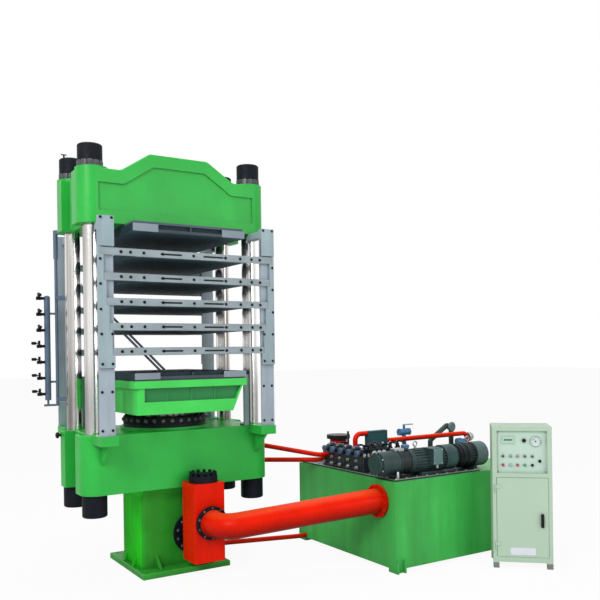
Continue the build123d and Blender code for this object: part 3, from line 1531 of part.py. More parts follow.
# Control panel with display, dial, meter, lamps and button collars
with BuildPart() as control_panel:
    with BuildSketch(panel_face):
        with Locations((cabinet_middle, panel_z)):
            Rectangle(panel_width + 2 * cabinet_wall, panel_height + 2 * cabinet_wall)
    extrude(amount=-panel_plate)
    with BuildSketch(panel_face):
        with Locations((display_x, display_z)):
            Rectangle(display_width, display_height)
    extrude(amount=display_depth)
    with BuildSketch(panel_face.offset(display_depth)):
        with Locations((display_x, display_z)):
            Rectangle(display_width - 2 * display_rim, display_height - 2 * display_rim)
    extrude(amount=-glass_depth, mode=Mode.SUBTRACT)
    for gauge_x, gauge_z, radius in ((dial_x, dial_z, dial_radius), (meter_x, meter_z, meter_radius)):
        with BuildSketch(panel_face):
            with Locations((gauge_x, gauge_z)):
                Circle(radius)
        extrude(amount=gauge_height)
        with BuildSketch(panel_face.offset(gauge_height)):
            with Locations((gauge_x, gauge_z)):
                Circle(radius - gauge_rim)
        extrude(amount=-glass_depth, mode=Mode.SUBTRACT)
    with BuildSketch(panel_face):
        with Locations([(x, lamp_row_z) for x in button_x]):
            Circle(lamp_radius)
    extrude(amount=lamp_height)
    with BuildSketch(panel_face):
        with Locations([(x, button_row_z) for x in button_x]):
            Circle(button_collar_radius)
    extrude(amount=button_collar_height)
    with BuildSketch(panel_face.offset(-panel_plate)):
        with Locations([(x, button_row_z) for x in button_x]):
            Circle(button_radius + pin_gap)
        with Locations((selector_x, selector_z)):
            Circle(selector_shaft_radius + pin_gap)
    extrude(amount=panel_plate + button_collar_height, mode=Mode.SUBTRACT)
control_panel.part.label = "control_panel"
export_step(control_panel.part, "parts/control_panel.step")

# Push buttons in their collars
for n in range(len(button_x)):
    with BuildPart() as push_button:
        with BuildSketch(panel_face):
            with Locations((button_x[n], button_row_z)):
                Circle(button_radius)
        extrude(amount=button_length)
        with BuildSketch(panel_face.offset(button_length)):
            with Locations((button_x[n], button_row_z)):
                Circle(button_radius)
        extrude(amount=button_crown_height, taper=button_taper)
    push_button.part.label = f"push_button_{n + 1}"
    export_step(push_button.part, f"parts/push_button_{n + 1}.step")

# Selector switch: a round base with a grip across it
with BuildPart() as selector_switch:
    with BuildSketch(panel_face):
        with Locations((selector_x, selector_z)):
            Circle(selector_radius)
    extrude(amount=selector_height)
    with BuildSketch(panel_face.offset(selector_height)):
        with Locations((selector_x, selector_z)):
            Rectangle(selector_grip, 2 * selector_radius - selector_grip)
    extrude(amount=selector_grip_rise)
    with BuildSketch(panel_face):
        with Locations((selector_x, selector_z)):
            Circle(selector_shaft_radius)
    extrude(amount=-selector_shaft_length)
selector_switch.part.label = "selector_switch"
export_step(selector_switch.part, "parts/selector_switch.step")
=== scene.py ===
import math

import bmesh
import bpy
from mathutils import Matrix, Vector


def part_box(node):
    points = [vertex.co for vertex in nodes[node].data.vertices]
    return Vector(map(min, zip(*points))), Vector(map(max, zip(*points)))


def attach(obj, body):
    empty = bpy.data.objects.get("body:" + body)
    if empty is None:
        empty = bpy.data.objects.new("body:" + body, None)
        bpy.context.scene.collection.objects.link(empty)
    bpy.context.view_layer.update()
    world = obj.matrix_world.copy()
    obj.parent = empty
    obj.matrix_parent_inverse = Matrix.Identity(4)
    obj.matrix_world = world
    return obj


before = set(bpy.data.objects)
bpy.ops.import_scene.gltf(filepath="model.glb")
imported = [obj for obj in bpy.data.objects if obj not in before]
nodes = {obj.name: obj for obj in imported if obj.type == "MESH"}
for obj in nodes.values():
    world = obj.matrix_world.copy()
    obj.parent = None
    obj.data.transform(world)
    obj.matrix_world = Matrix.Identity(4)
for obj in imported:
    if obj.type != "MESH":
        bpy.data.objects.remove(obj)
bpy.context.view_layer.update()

X, Y, Z = Vector((1, 0, 0)), Vector((0, 1, 0)), Vector((0, 0, 1))


def link(thing):
    bpy.context.scene.collection.objects.link(thing)
    return thing


# Camera fitted to the photograph. Focal length and shift are in its pixels.

PHOTO_SIDE = 600
FOCAL_LENGTH = 753.54
SHIFT_UP = 55
SENSOR_WIDTH = 36
FAR_LIMIT = 300
YAW, PITCH, ROLL = math.radians(32.2162), math.radians(-0.1256), math.radians(0.8075)
CAMERA_PLACE = (-2.4748, -6.1319, 1.7704)


def camera_axes(yaw, pitch, roll):
    """The camera's own right, up and forward directions."""
    forward = Vector((math.sin(yaw) * math.cos(pitch), math.cos(yaw) * math.cos(pitch), math.sin(pitch)))
    level = Vector((math.cos(yaw), -math.sin(yaw), 0))
    upright = level.cross(forward)
    right = math.cos(roll) * level - math.sin(roll) * upright
    up = math.sin(roll) * level + math.cos(roll) * upright
    return right, up, forward


camera_data = bpy.data.cameras.new("camera")
camera_data.sensor_width = SENSOR_WIDTH
camera_data.lens = FOCAL_LENGTH / PHOTO_SIDE * SENSOR_WIDTH
camera_data.shift_y = SHIFT_UP / PHOTO_SIDE
camera_data.clip_end = FAR_LIMIT
camera = link(bpy.data.objects.new("camera", camera_data))
camera_right, camera_up, camera_forward = camera_axes(YAW, PITCH, ROLL)
turned = Matrix((camera_right, camera_up, -camera_forward)).transposed().to_4x4()
camera.matrix_world = Matrix.Translation(CAMERA_PLACE) @ turned
bpy.context.scene.camera = camera

# Node helpers. Each takes the node tree first and gives the socket with its result.


def new_material(name):
    material = bpy.data.materials.new(name)
    material.use_nodes = True
    tree = material.node_tree
    return material, tree, tree.nodes["Principled BSDF"]


def add(tree, kind, **settings):
    node = tree.nodes.new(kind)
    for key, value in settings.items():
        setattr(node, key, value)
    return node


def wire(tree, source, target):
    tree.links.new(source, target)


def noise(tree, scale, detail=3.0, rough=0.5, stretch=None):
    """Noise in the piece's own place. stretch squeezes it along the axes."""
    place = add(tree, "ShaderNodeTexCoord").outputs["Object"]
    if stretch:
        mapping = add(tree, "ShaderNodeMapping")
        mapping.inputs["Scale"].default_value = stretch
        wire(tree, place, mapping.inputs["Vector"])
        place = mapping.outputs["Vector"]
    node = add(tree, "ShaderNodeTexNoise")
    node.inputs["Scale"].default_value = scale
    node.inputs["Detail"].default_value = detail
    node.inputs["Roughness"].default_value = rough
    wire(tree, place, node.inputs["Vector"])
    return node.outputs[0]


def spread(tree, value, low, high, to_low, to_high):
    """Carry the range from low to high over to the range from to_low to to_high."""
    node = add(tree, "ShaderNodeMapRange")
    node.inputs["From Min"].default_value = low
    node.inputs["From Max"].default_value = high
    node.inputs["To Min"].default_value = to_low
    node.inputs["To Max"].default_value = to_high
    wire(tree, value, node.inputs["Value"])
    return node.outputs["Result"]


def shades(tree, value, stops):
    """A colour ramp with stops of (place, color)."""
    node = add(tree, "ShaderNodeValToRGB")
    ramp = node.color_ramp
    while len(ramp.elements) < len(stops):
        ramp.elements.new(0.5)
    for element, (place, color) in zip(ramp.elements, stops):
        element.position = place
        element.color = (*color, 1)
    wire(tree, value, node.inputs["Fac"])
    return node.outputs["Color"]


def mix(tree, factor, first, second):
    """A mix of two colours, each a tuple or a socket."""
    node = add(tree, "ShaderNodeMix", data_type="RGBA")
    for socket, value in ((node.inputs[6], first), (node.inputs[7], second)):
        if isinstance(value, tuple):
            socket.default_value = (*value, 1)
        else:
            wire(tree, value, socket)
    wire(tree, factor, node.inputs[0])
    return node.outputs[2]


def maths(tree, operation, first, second):
    """One operation on two values, each a number or a socket."""
    node = add(tree, "ShaderNodeMath", operation=operation)
    for socket, value in ((node.inputs[0], first), (node.inputs[1], second)):
        if isinstance(value, (int, float)):
            socket.default_value = value
        else:
            wire(tree, value, socket)
    return node.outputs[0]


def product(tree, first, second):
    return maths(tree, "MULTIPLY", first, second)


def unsigned(tree, value):
    """The value without its sign."""
    return maths(tree, "ABSOLUTE", value, 0)


def split(tree, vector, axis):
    node = add(tree, "ShaderNodeSeparateXYZ")
    wire(tree, vector, node.inputs["Vector"])
    return node.outputs[axis]


def placed(tree, axis):
    """One coordinate of the piece's own place."""
    return split(tree, add(tree, "ShaderNodeTexCoord").outputs["Object"], axis)


def normal(tree, axis):
    """One coordinate of the direction that the face looks in."""
    return split(tree, add(tree, "ShaderNodeNewGeometry").outputs["True Normal"], axis)


def shaded(color, share):
    return tuple(min(1.0, c * share) for c in color)


def drifting(tree, drift, color, tone):
    """The colour, a little darker here and lighter there with the noise."""
    return shades(tree, drift, ((0.3, shaded(color, 1 - tone)), (0.7, shaded(color, 1 + tone))))


# Masks: 1 where a patch of another colour lies, 0 elsewhere

STEP = 0.001  # metres over which one colour gives way to the next


def past(tree, value, limit):
    return spread(tree, value, limit - STEP, limit, 0.0, 1.0)


def short_of(tree, value, limit, width=STEP):
    return spread(tree, value, limit, limit + width, 1.0, 0.0)


def over(height):
    return lambda tree: past(tree, placed(tree, "Z"), height)


def below(height):
    return lambda tree: short_of(tree, placed(tree, "Z"), height, 4 * STEP)


def right_front(x, y):
    return lambda tree: product(tree, past(tree, placed(tree, "X"), x), short_of(tree, placed(tree, "Y"), y))


def near_middle(x):
    return lambda tree: short_of(tree, unsigned(tree, placed(tree, "X")), x)


def shaded_recess(depth):
    """The sunk faces in front and at the back, where shade is painted."""
    return lambda tree: product(
        tree, short_of(tree, unsigned(tree, placed(tree, "Y")), depth),
        spread(tree, unsigned(tree, normal(tree, "Y")), 0.6, 0.8, 0.0, 1.0),
    )


# Painted shade on the faces that look down.
def shade_beneath(share):
    return lambda tree: spread(tree, normal(tree, "Z"), -0.95, 0.3, share, 0.0)


# Painted highlight on the faces that look up.
def highlight_above(share):
    return lambda tree: spread(tree, normal(tree, "Z"), 0.55, 0.98, 0.0, share)


def edge_mask(tree, bevel, low, high):
    """1 where the rounded edge leaves the flat face, 0 elsewhere."""
    plain = add(tree, "ShaderNodeNewGeometry").outputs["Normal"]
    dot = add(tree, "ShaderNodeVectorMath", operation="DOT_PRODUCT")
    wire(tree, bevel, dot.inputs[0])
    wire(tree, plain, dot.inputs[1])
    return spread(tree, dot.outputs["Value"], low, high, 1.0, 0.0)


# Materials

SAMPLES = 4  # of ambient occlusion and bevel
DIRT_AND_SHADE_REACH = 0.07
BUMP_DEPTH = 0.001
COAT_ROUGHNESS = 0.12
PROUD_FACES = (0.584, 0.588)  # distance in Y at which the platens' bare front edges begin


def finish(
    name, color, rough=0.32, metal=0.0, coat=0.0, sheen=0.5, tone=0.07, tone_scale=1.8, peel=0.05,
    peel_scale=170.0, edge_radius=0.003, edge_color=None, edge_wear=0.0, dirt_and_shade=0.0,
    dirt_and_shade_color=(0.02, 0.02, 0.018), streak=None, bands=(), shaded_faces=None, patches=(),
):
    """A worn surface: drifting tone, grain in roughness and bump, worn edges, and dirt with painted shade in
    corners.

    bands are (low X, high X, color), shaded_faces the colours of painted shade above and beneath on all but the
    proud fronts, patches (mask, color), and streak is (stretch, color, amount).
    """
    material, tree, shader = new_material(name)
    drift = noise(tree, tone_scale, 4.0, 0.55)
    paint = drifting(tree, drift, color, tone)
    for low, high, band_color in bands:
        band = product(tree, past(tree, placed(tree, "X"), low), short_of(tree, placed(tree, "X"), high))
        paint = mix(tree, band, paint, drifting(tree, drift, band_color, tone))
    # Painted shade: every face but the platens' proud fronts takes a darker colour, one above and another beneath.
    if shaded_faces:
        front = spread(tree, unsigned(tree, normal(tree, "Y")), 0.4, 0.6, 0.0, 1.0)
        proud = spread(tree, unsigned(tree, placed(tree, "Y")), *PROUD_FACES, 0.0, 1.0)
        beneath = spread(tree, normal(tree, "Z"), -0.9, -0.8, 1.0, 0.0)
        paint = mix(tree, product(tree, front, proud), mix(tree, beneath, *shaded_faces), paint)
    for mask, patch_color in patches:
        paint = mix(tree, mask(tree), paint, patch_color)
    if streak:
        stretch, streak_color, amount = streak
        share = spread(tree, noise(tree, 1.0, 3.0, 0.6, stretch), 0.38, 0.66, 0.0, amount)
        paint = mix(tree, share, paint, streak_color)
    # Ambient occlusion darkens corners and creases: patchy dirt, and painted shade where less light reaches.
    if dirt_and_shade > 0:
        hidden = add(tree, "ShaderNodeAmbientOcclusion", samples=SAMPLES)
        hidden.inputs["Distance"].default_value = DIRT_AND_SHADE_REACH
        occlusion_shade = spread(tree, hidden.outputs["AO"], 0.35, 0.95, dirt_and_shade, 0.0)
        patchy = spread(tree, noise(tree, 9.0, 5.0, 0.6), 0.35, 0.7, 0.35, 1.0)
        paint = mix(tree, product(tree, occlusion_shade, patchy), paint, dirt_and_shade_color)
    bevel = add(tree, "ShaderNodeBevel", samples=SAMPLES)
    bevel.inputs["Radius"].default_value = edge_radius
    if edge_wear > 0:
        edges = edge_mask(tree, bevel.outputs["Normal"], 0.86, 0.985)
        patchy = spread(tree, noise(tree, 24.0, 4.0, 0.6), 0.42, 0.62, 0.15, 1.0)
        worn = product(tree, product(tree, edges, patchy), edge_wear)
        paint = mix(tree, worn, paint, edge_color or shaded(color, 1.8))
    wire(tree, paint, shader.inputs["Base Color"])
    grain = noise(tree, 38.0, 4.0, 0.55)
    wire(tree, spread(tree, grain, 0.3, 0.7, rough * 0.82, min(1.0, rough * 1.25)), shader.inputs["Roughness"])
    bump = add(tree, "ShaderNodeBump")
    bump.inputs["Strength"].default_value = peel
    bump.inputs["Distance"].default_value = BUMP_DEPTH
    wire(tree, noise(tree, peel_scale, 2.0, 0.5), bump.inputs["Height"])
    wire(tree, bevel.outputs["Normal"], bump.inputs["Normal"])
    wire(tree, bump.outputs["Normal"], shader.inputs["Normal"])
    shader.inputs["Metallic"].default_value = metal
    shader.inputs["Specular IOR Level"].default_value = sheen
    shader.inputs["Coat Weight"].default_value = coat
    shader.inputs["Coat Roughness"].default_value = COAT_ROUGHNESS
    return material


GREEN = (0.028, 0.475, 0.062)
GREEN_EDGE = (0.22, 0.78, 0.26)
# Painted light: the pedestal's side faces lighter than its front.
PEDESTAL_LIT_SIDE = (0.015, 0.66, 0.010)
PEDESTAL_HALF = 0.3275
PEDESTAL_DIRT_SHADE = (0.01, 0.08, 0.02)
RED = (0.80, 0.012, 0.0006)
RED_EDGE = (1.0, 0.14, 0.05)
RED_DIRT_SHADE = (0.10, 0.005, 0.003)
GREY = (0.33, 0.43, 0.465)
BAR_DIRT_SHADE = (0.05, 0.07, 0.09)

looks = {
    "green": finish(
        "green_enamel", GREEN, 0.38, coat=0.06, sheen=0.25, tone=0.12, tone_scale=2.6, peel=0.12,
        peel_scale=90, edge_radius=0.005, edge_wear=0.4, edge_color=GREEN_EDGE, dirt_and_shade=0.55,
        dirt_and_shade_color=(0.012, 0.12, 0.03), streak=((3.0, 3.0, 0.6), (0.022, 0.33, 0.05), 0.35),
    ),
    "deep_green": finish(
        "pedestal_enamel", (0.032, 0.35, 0.030), 0.5, sheen=0.03, tone=0.18, tone_scale=3.0, peel=0.16,
        peel_scale=60, edge_radius=0.006, edge_wear=0.45, edge_color=(0.16, 0.72, 0.16), dirt_and_shade=0.6,
        dirt_and_shade_color=PEDESTAL_DIRT_SHADE, streak=((5.0, 5.0, 0.8), (0.05, 0.16, 0.03), 0.5),
        # painted light on the side faces
        bands=((-1.0, -PEDESTAL_HALF, PEDESTAL_LIT_SIDE), (PEDESTAL_HALF, 1.0, PEDESTAL_LIT_SIDE)),
    ),
    "base": finish(
        "base_enamel", (0.036, 0.37, 0.036), 0.4, sheen=0.2, tone=0.18, tone_scale=4.0, peel=0.14,
        edge_radius=0.006, edge_wear=0.7, edge_color=(0.20, 0.78, 0.22), dirt_and_shade=0.6,
        dirt_and_shade_color=PEDESTAL_DIRT_SHADE,
    ),
    "cylinder": finish(
        "cylinder_enamel", (0.032, 0.33, 0.030), 0.45, sheen=0.2, tone=0.18, peel=0.14, dirt_and_shade=0.5,
        edge_wear=0.4, edge_color=(0.05, 0.055, 0.06), patches=((over(1.1775), (0.004, 0.006, 0.011)),),
    ),
    "tank": finish(
        "tank_enamel", (0.052, 0.49, 0.085), 0.38, coat=0.06, sheen=0.25, tone=0.12, tone_scale=2.2,
        peel=0.12, peel_scale=80, edge_radius=0.004, edge_wear=0.5, edge_color=(0.25, 0.75, 0.3), dirt_and_shade=0.55,
        dirt_and_shade_color=(0.02, 0.10, 0.03), streak=((4.0, 4.0, 0.45), (0.035, 0.15, 0.035), 0.42),
    ),
    "table": finish(
        "table_enamel", (0.055, 0.66, 0.095), 0.38, coat=0.06, sheen=0.25, tone=0.1, tone_scale=3.0, peel=0.1,
        peel_scale=90, edge_radius=0.004, edge_wear=0.4, edge_color=GREEN_EDGE, dirt_and_shade=0.6,
        # painted shade in the sunk panel under the flange
        dirt_and_shade_color=(0.012, 0.12, 0.05), patches=((shaded_recess(0.5755), (0.016, 0.22, 0.055)),),
    ),
    "red": finish(
        "red_enamel", RED, 0.3, sheen=0.08, tone=0.1, tone_scale=4.0, peel=0.08, edge_wear=0.3,
        edge_color=RED_EDGE, dirt_and_shade=0.5, dirt_and_shade_color=RED_DIRT_SHADE,
        # painted shade on the undersides and a painted highlight on the tops
        patches=((shade_beneath(0.92), (0.10, 0.003, 0.001)), (highlight_above(0.6), (1.0, 0.10, 0.02))),
    ),
    "block": finish(
        "block_enamel", RED, 0.3, sheen=0.08, tone=0.1, tone_scale=4.0, peel=0.08, edge_wear=0.3,
        edge_color=RED_EDGE, dirt_and_shade=0.5, dirt_and_shade_color=RED_DIRT_SHADE,
        streak=((14.0, 14.0, 1.1), (0.46, 0.012, 0.002), 0.3),
    ),
    "canister": finish(
        "canister_enamel", RED, 0.3, sheen=0.08, tone=0.1, peel=0.08, edge_wear=0.3,
        edge_color=(0.6, 0.1, 0.06), dirt_and_shade=0.45, dirt_and_shade_color=RED_DIRT_SHADE,
        patches=((over(0.958), (0.014, 0.022, 0.020)),),
    ),
    "post": finish(
        "post_enamel", (0.39, 0.46, 0.525), 0.42, sheen=0.35, tone=0.12, tone_scale=3.0, peel=0.08,
        edge_wear=0.55, edge_color=(0.6, 0.66, 0.74), dirt_and_shade=0.5, dirt_and_shade_color=BAR_DIRT_SHADE,
        streak=((9.0, 9.0, 0.7), (0.22, 0.28, 0.34), 0.4), patches=((near_middle(0.624), (0.56, 0.68, 0.80)),),
    ),
    "bar": finish(
        "bar_enamel", (0.30, 0.37, 0.395), 0.42, sheen=0.35, tone=0.16, tone_scale=5.0, peel=0.08,
        edge_wear=0.55, edge_color=(0.6, 0.64, 0.66), dirt_and_shade=0.5, dirt_and_shade_color=BAR_DIRT_SHADE,
        streak=((1.2, 9.0, 12.0), (0.20, 0.23, 0.26), 0.45),
    ),
    "rack": finish(
        "rack_enamel", GREY, 0.42, sheen=0.35, tone=0.12, tone_scale=3.0, peel=0.08, edge_wear=0.55,
        edge_color=(0.55, 0.63, 0.68), dirt_and_shade=0.5, dirt_and_shade_color=(0.04, 0.07, 0.09),
        streak=((9.0, 9.0, 0.7), (0.19, 0.27, 0.32), 0.4),
    ),
    "blue": finish(
        "header_enamel", (0.085, 0.135, 0.205), 0.4, tone=0.16, tone_scale=6.0, edge_wear=0.4,
        edge_color=(0.2, 0.3, 0.45), dirt_and_shade=0.4,
    ),
    "platen": finish(
        "platen_steel", (0.25, 0.30, 0.35), 0.6, sheen=0.2, tone=0.14, peel=0.1, peel_scale=240,
        edge_wear=0.3, edge_color=(0.28, 0.31, 0.35), dirt_and_shade=0.3,
        bands=((-0.274, 0.274, (0.065, 0.075, 0.095)),),
        # painted shade on the tops, sides and undersides
        shaded_faces=((0.013, 0.036, 0.046), (0.065, 0.13, 0.16)),
    ),
    "board": finish(
        "insulation_board", (0.08, 0.105, 0.135), 0.75, tone=0.15, peel=0.3, peel_scale=320, dirt_and_shade=0.4,
    ),
    "chrome": finish(
        "column_chrome", (0.88, 0.87, 0.85), 0.15, metal=1.0, tone=0.04, peel=0.03, peel_scale=300,
        # the dark streaks are painted reflections
        streak=((17.0, 17.0, 0.16), (0.13, 0.105, 0.08), 0.82),
    ),
    "ram": finish(
        "ram_chrome", (0.42, 0.43, 0.43), 0.22, metal=1.0, tone=0.05, peel=0.02,
        streak=((14.0, 14.0, 0.3), (0.2, 0.19, 0.17), 0.5),
    ),
    "black": finish(
        "black_enamel", (0.004, 0.006, 0.011), 0.55, sheen=0.15, tone=0.3, tone_scale=8.0, peel=0.14,
        peel_scale=120, edge_wear=0.5, edge_color=(0.07, 0.08, 0.09),
    ),
    "ring": finish(
        "ring_steel", (0.085, 0.090, 0.095), 0.4, metal=0.6, tone=0.3, tone_scale=20.0, peel=0.1,
        edge_radius=0.004, edge_wear=0.9, edge_color=(0.42, 0.43, 0.42), dirt_and_shade=1.0,
        dirt_and_shade_color=(0.006, 0.006, 0.007),
    ),
    "steel": finish(
        "machined_steel", (0.42, 0.45, 0.46), 0.36, metal=0.85, tone=0.12, peel=0.08, peel_scale=260,
        edge_wear=0.4, edge_color=(0.75, 0.75, 0.75), dirt_and_shade=0.6, dirt_and_shade_color=(0.05, 0.045, 0.04),
    ),
    "motor": finish(
        "motor_enamel", (0.022, 0.050, 0.050), 0.45, sheen=0.35, tone=0.35, tone_scale=7.0, peel=0.14,
        peel_scale=110, edge_wear=0.7, edge_color=(0.13, 0.20, 0.20), dirt_and_shade=0.7,
        dirt_and_shade_color=(0.005, 0.006, 0.006),
        bands=(
            # the lighter teal band over the first fan cover is a painted highlight
            (1.4865, 1.5865, (0.007, 0.010, 0.012)), (1.972, 2.10, (0.040, 0.090, 0.090)),
            (2.11, 2.331, (0.010, 0.015, 0.018)),
        ),
        patches=((right_front(2.332, -1.001), (0.115, 0.175, 0.185)),),
    ),
    "bank": finish(
        "valve_castings", (0.018, 0.026, 0.034), 0.4, tone=0.5, tone_scale=9.0, metal=0.2, peel=0.12,
        edge_wear=0.9, edge_color=(0.40, 0.46, 0.52), dirt_and_shade=0.5,
    ),
    "teal": finish(
        "teal_enamel", (0.020, 0.085, 0.095), 0.42, sheen=0.3, tone=0.14, edge_wear=0.4,
        edge_color=(0.05, 0.2, 0.19), dirt_and_shade=0.4,
    ),
    "valve_blue": finish(
        "valve_enamel", (0.05, 0.17, 0.38), 0.36, tone=0.16, tone_scale=20.0, edge_wear=0.6,
        edge_color=(0.4, 0.55, 0.75), dirt_and_shade=0.35,
    ),
    "lid": finish(
        "lid_plate", (0.035, 0.048, 0.048), 0.42, metal=0.2, tone=0.35, tone_scale=5.0, peel=0.14,
        edge_wear=1.0, edge_color=(0.55, 0.6, 0.6), dirt_and_shade=0.5,
    ),
    "cabinet": finish(
        "cabinet_powder_coat", (0.46, 0.60, 0.47), 0.5, sheen=0.3, tone=0.03, peel=0.14, peel_scale=420,
        edge_radius=0.004, edge_wear=0.3, edge_color=(0.68, 0.80, 0.68), dirt_and_shade=0.45,
        dirt_and_shade_color=(0.14, 0.20, 0.15), patches=((below(0.042), (0.20, 0.215, 0.19)),),
    ),
    "panel": finish(
        "panel_coat", (0.54, 0.70, 0.60), 0.42, sheen=0.3, tone=0.04, peel=0.06, dirt_and_shade=0.5,
        dirt_and_shade_color=(0.16, 0.27, 0.23),
    ),
    "plastic": finish(
        "black_plastic", (0.008, 0.008, 0.009), 0.45, sheen=0.15, tone=0.15, peel=0.08, peel_scale=420,
        edge_wear=0.2, edge_color=(0.08, 0.08, 0.08),
    ),
    "cover": finish(
        "cover_enamel", (0.10, 0.19, 0.19), 0.38, tone=0.15, peel=0.1, edge_wear=0.5,
        edge_color=(0.3, 0.4, 0.4), dirt_and_shade=0.4,
    ),
    "coil": finish(
        "coil_enamel", (0.05, 0.11, 0.24), 0.3, tone=0.4, tone_scale=14.0, peel=0.05, edge_wear=0.5,
        edge_color=(0.4, 0.5, 0.6), dirt_and_shade=0.3,
    ),
    "lens_dark": finish("dark_lens", (0.02, 0.02, 0.022), 0.15, coat=0.6, tone=0.1, peel=0.02),
    "lens_green": finish("green_lens", (0.10, 0.38, 0.22), 0.15, coat=0.6, tone=0.08, peel=0.02),
    "lens_orange": finish("orange_lens", (0.72, 0.14, 0.06), 0.15, coat=0.6, tone=0.08, peel=0.02),
    "screen": finish("display_glass", (0.46, 0.70, 0.52), 0.12, coat=0.7, tone=0.03, peel=0.01),
    "dial": finish("dial_face", (0.62, 0.74, 0.70), 0.25, coat=0.4, tone=0.04, peel=0.02),
    "ink": finish("dark_marks", (0.02, 0.05, 0.05), 0.5, tone=0.1, peel=0.02),
    "plate": finish("label_plate", (0.72, 0.74, 0.82), 0.3, coat=0.3, tone=0.05, tone_scale=14.0, peel=0.03),
    "button_red": finish("red_plastic", (0.55, 0.03, 0.045), 0.3, tone=0.05, peel=0.02),
    "button_grey": finish("grey_plastic", (0.42, 0.50, 0.48), 0.3, tone=0.05, peel=0.02),
    "button_green": finish("green_plastic", (0.05, 0.34, 0.16), 0.3, tone=0.05, peel=0.02),
}

dressed = {
    "green": ["lower_crosshead", "upper_crosshead"],
    "base": ["base_plate"],
    "table": ["moving_table"],
    "tank": ["oil_tank"],
    "deep_green": ["cylinder_pedestal"],
    "cylinder": ["main_cylinder"],
    "black": ["gland_ring", "column_nuts", "prefill_flanges", "steam_valves"],
    "red": ["suction_pipe", "pressure_pipes", "return_pipe"],
    "block": ["prefill_valve"],
    "canister": ["filter_canister"],
    "post": ["rack_posts"],
    "rack": ["hook_plates", "table_guides"],
    "bar": [f"hanger_bars_{n}" for n in range(1, 6)],
    "platen": ["upper_hot_platen", "lower_hot_platen"] + [f"hot_platen_{n}" for n in range(1, 6)],
    "board": ["upper_insulation_board", "lower_insulation_board"],
    "chrome": ["columns"],
    "ram": ["ram"],
    "ring": ["nut_flange_rings"],
    "blue": ["steam_header"],
    "lid": ["tank_lid"],
    "motor": ["pump_motors"],
    "bank": ["valve_bank"],
    "teal": ["oil_cooler"],
    "valve_blue": ["stop_valve"],
    "steel": ["stop_valve_lever"],
    "cabinet": ["cabinet_shell", "cabinet_door"],
    "panel": ["control_panel"],
    "plastic": ["door_handle", "selector_switch", "push_button_5"] + [f"steam_lever_{n}" for n in range(1, 8)],
    "button_red": ["push_button_1", "push_button_3"],
    "button_grey": ["push_button_2"],
    "button_green": ["push_button_4"],
}
for look, names in dressed.items():
    for name in names:
        slots = nodes[name].data.materials
        slots.clear()
        slots.append(looks[look])

# Fine pieces, each built as its own mesh

SMOOTH_ANGLE = math.radians(35)


def angles(count, phase=0.0):
    """Equal steps round a circle."""
    return [math.tau * (k + phase) / count for k in range(count)]


def circle(centre, u, v, radius, count):
    return [centre + radius * (math.cos(a) * u + math.sin(a) * v) for a in angles(count)]


class Shape:
    """Vertices and faces of one fine piece."""

    def __init__(self):
        self.points = []
        self.faces = []

    def rings(self, rings, closed=False):
        """Skin a list of rings that have the same number of points."""
        first = len(self.points)
        count = len(rings[0])
        for ring in rings:
            self.points.extend(ring)
        pairs = len(rings) if closed else len(rings) - 1
        for n in range(pairs):
            low = first + n * count
            high = first + (n + 1) % len(rings) * count
            for k in range(count):
                after = (k + 1) % count
                self.faces.append((low + k, low + after, high + after, high + k))
        if not closed:
            self.faces.append(tuple(first + k for k in reversed(range(count))))
            self.faces.append(tuple(first + (len(rings) - 1) * count + k for k in range(count)))
        return self

    def lathe(self, origin, axis, profile, sides):
        """Turn a profile of (radius, distance along the axis) about the axis."""
        origin, axis = Vector(origin), Vector(axis).normalized()
        across = axis.orthogonal().normalized()
        along = axis.cross(across)
        return self.rings([circle(origin + reach * axis, across, along, radius, sides) for radius, reach in profile])

    def bolt(self, origin, axis, radius, height):
        """A hexagon head with a chamfered crown on a round washer."""
        washer, washer_top = 1.25 * radius, 0.18 * height
        crown, crown_foot = 0.84 * radius, 0.86 * height
        self.lathe(origin, axis, ((washer, -0.001), (washer, washer_top)), 18)
        return self.lathe(origin, axis, ((radius, washer_top), (radius, crown_foot), (crown, height)), 6)

    def bolts(self, centre, u, v, axis, reach, count, radius, height):
        """Bolts in a ring round a centre, all with their heads along the axis."""
        for a in angles(count, 0.5):
            self.bolt(centre + reach * (math.cos(a) * u + math.sin(a) * v), axis, radius, height)

    def block(self, origin, axes, low, high, cut=0.0):
        """A block in the given axes, its far face smaller by the cut all round."""
        origin = Vector(origin)
        x, y, z = (Vector(a) for a in axes)
        rings = []
        levels = ((low[2], 0.0), (high[2] - cut, 0.0), (high[2], cut)) if cut else ((low[2], 0.0), (high[2], 0.0))
        for level, inset in levels:
            ring = []
            for px, py in ((0, 0), (1, 0), (1, 1), (0, 1)):
                u = low[0] + inset if px == 0 else high[0] - inset
                v = low[1] + inset if py == 0 else high[1] - inset
                ring.append(origin + u * x + v * y + level * z)
            rings.append(ring)
        return self.rings(rings)

    def tube(self, path, radius, sides, closed=False):
        """A round tube along a list of points."""
        path = [Vector(p) for p in path]
        rings = []
        across = None
        for n, point in enumerate(path):
            before = path[n - 1] if n or closed else point
            after = path[(n + 1) % len(path)] if n + 1 < len(path) or closed else point
            heading = (after - before).normalized()
            if across is None:
                across = heading.orthogonal().normalized()
            across = (across - across.dot(heading) * heading).normalized()
            rings.append(circle(point, across, heading.cross(across), radius, sides))
        return self.rings(rings, closed)


def piece(name, shape, look, body="press_set"):
    """Make the mesh, dress it, and let it ride its body."""
    mesh = bpy.data.meshes.new(name)
    mesh.from_pydata([tuple(p) for p in shape.points], [], shape.faces)
    mesh.materials.append(looks[look])
    solid = bmesh.new()
    solid.from_mesh(mesh)
    bmesh.ops.recalc_face_normals(solid, faces=solid.faces)
    solid.to_mesh(mesh)
    solid.free()
    for face in mesh.polygons:
        face.use_smooth = True
    mesh.set_sharp_from_angle(angle=SMOOTH_ANGLE)
    thing = link(bpy.data.objects.new(name, mesh))
    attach(thing, body)


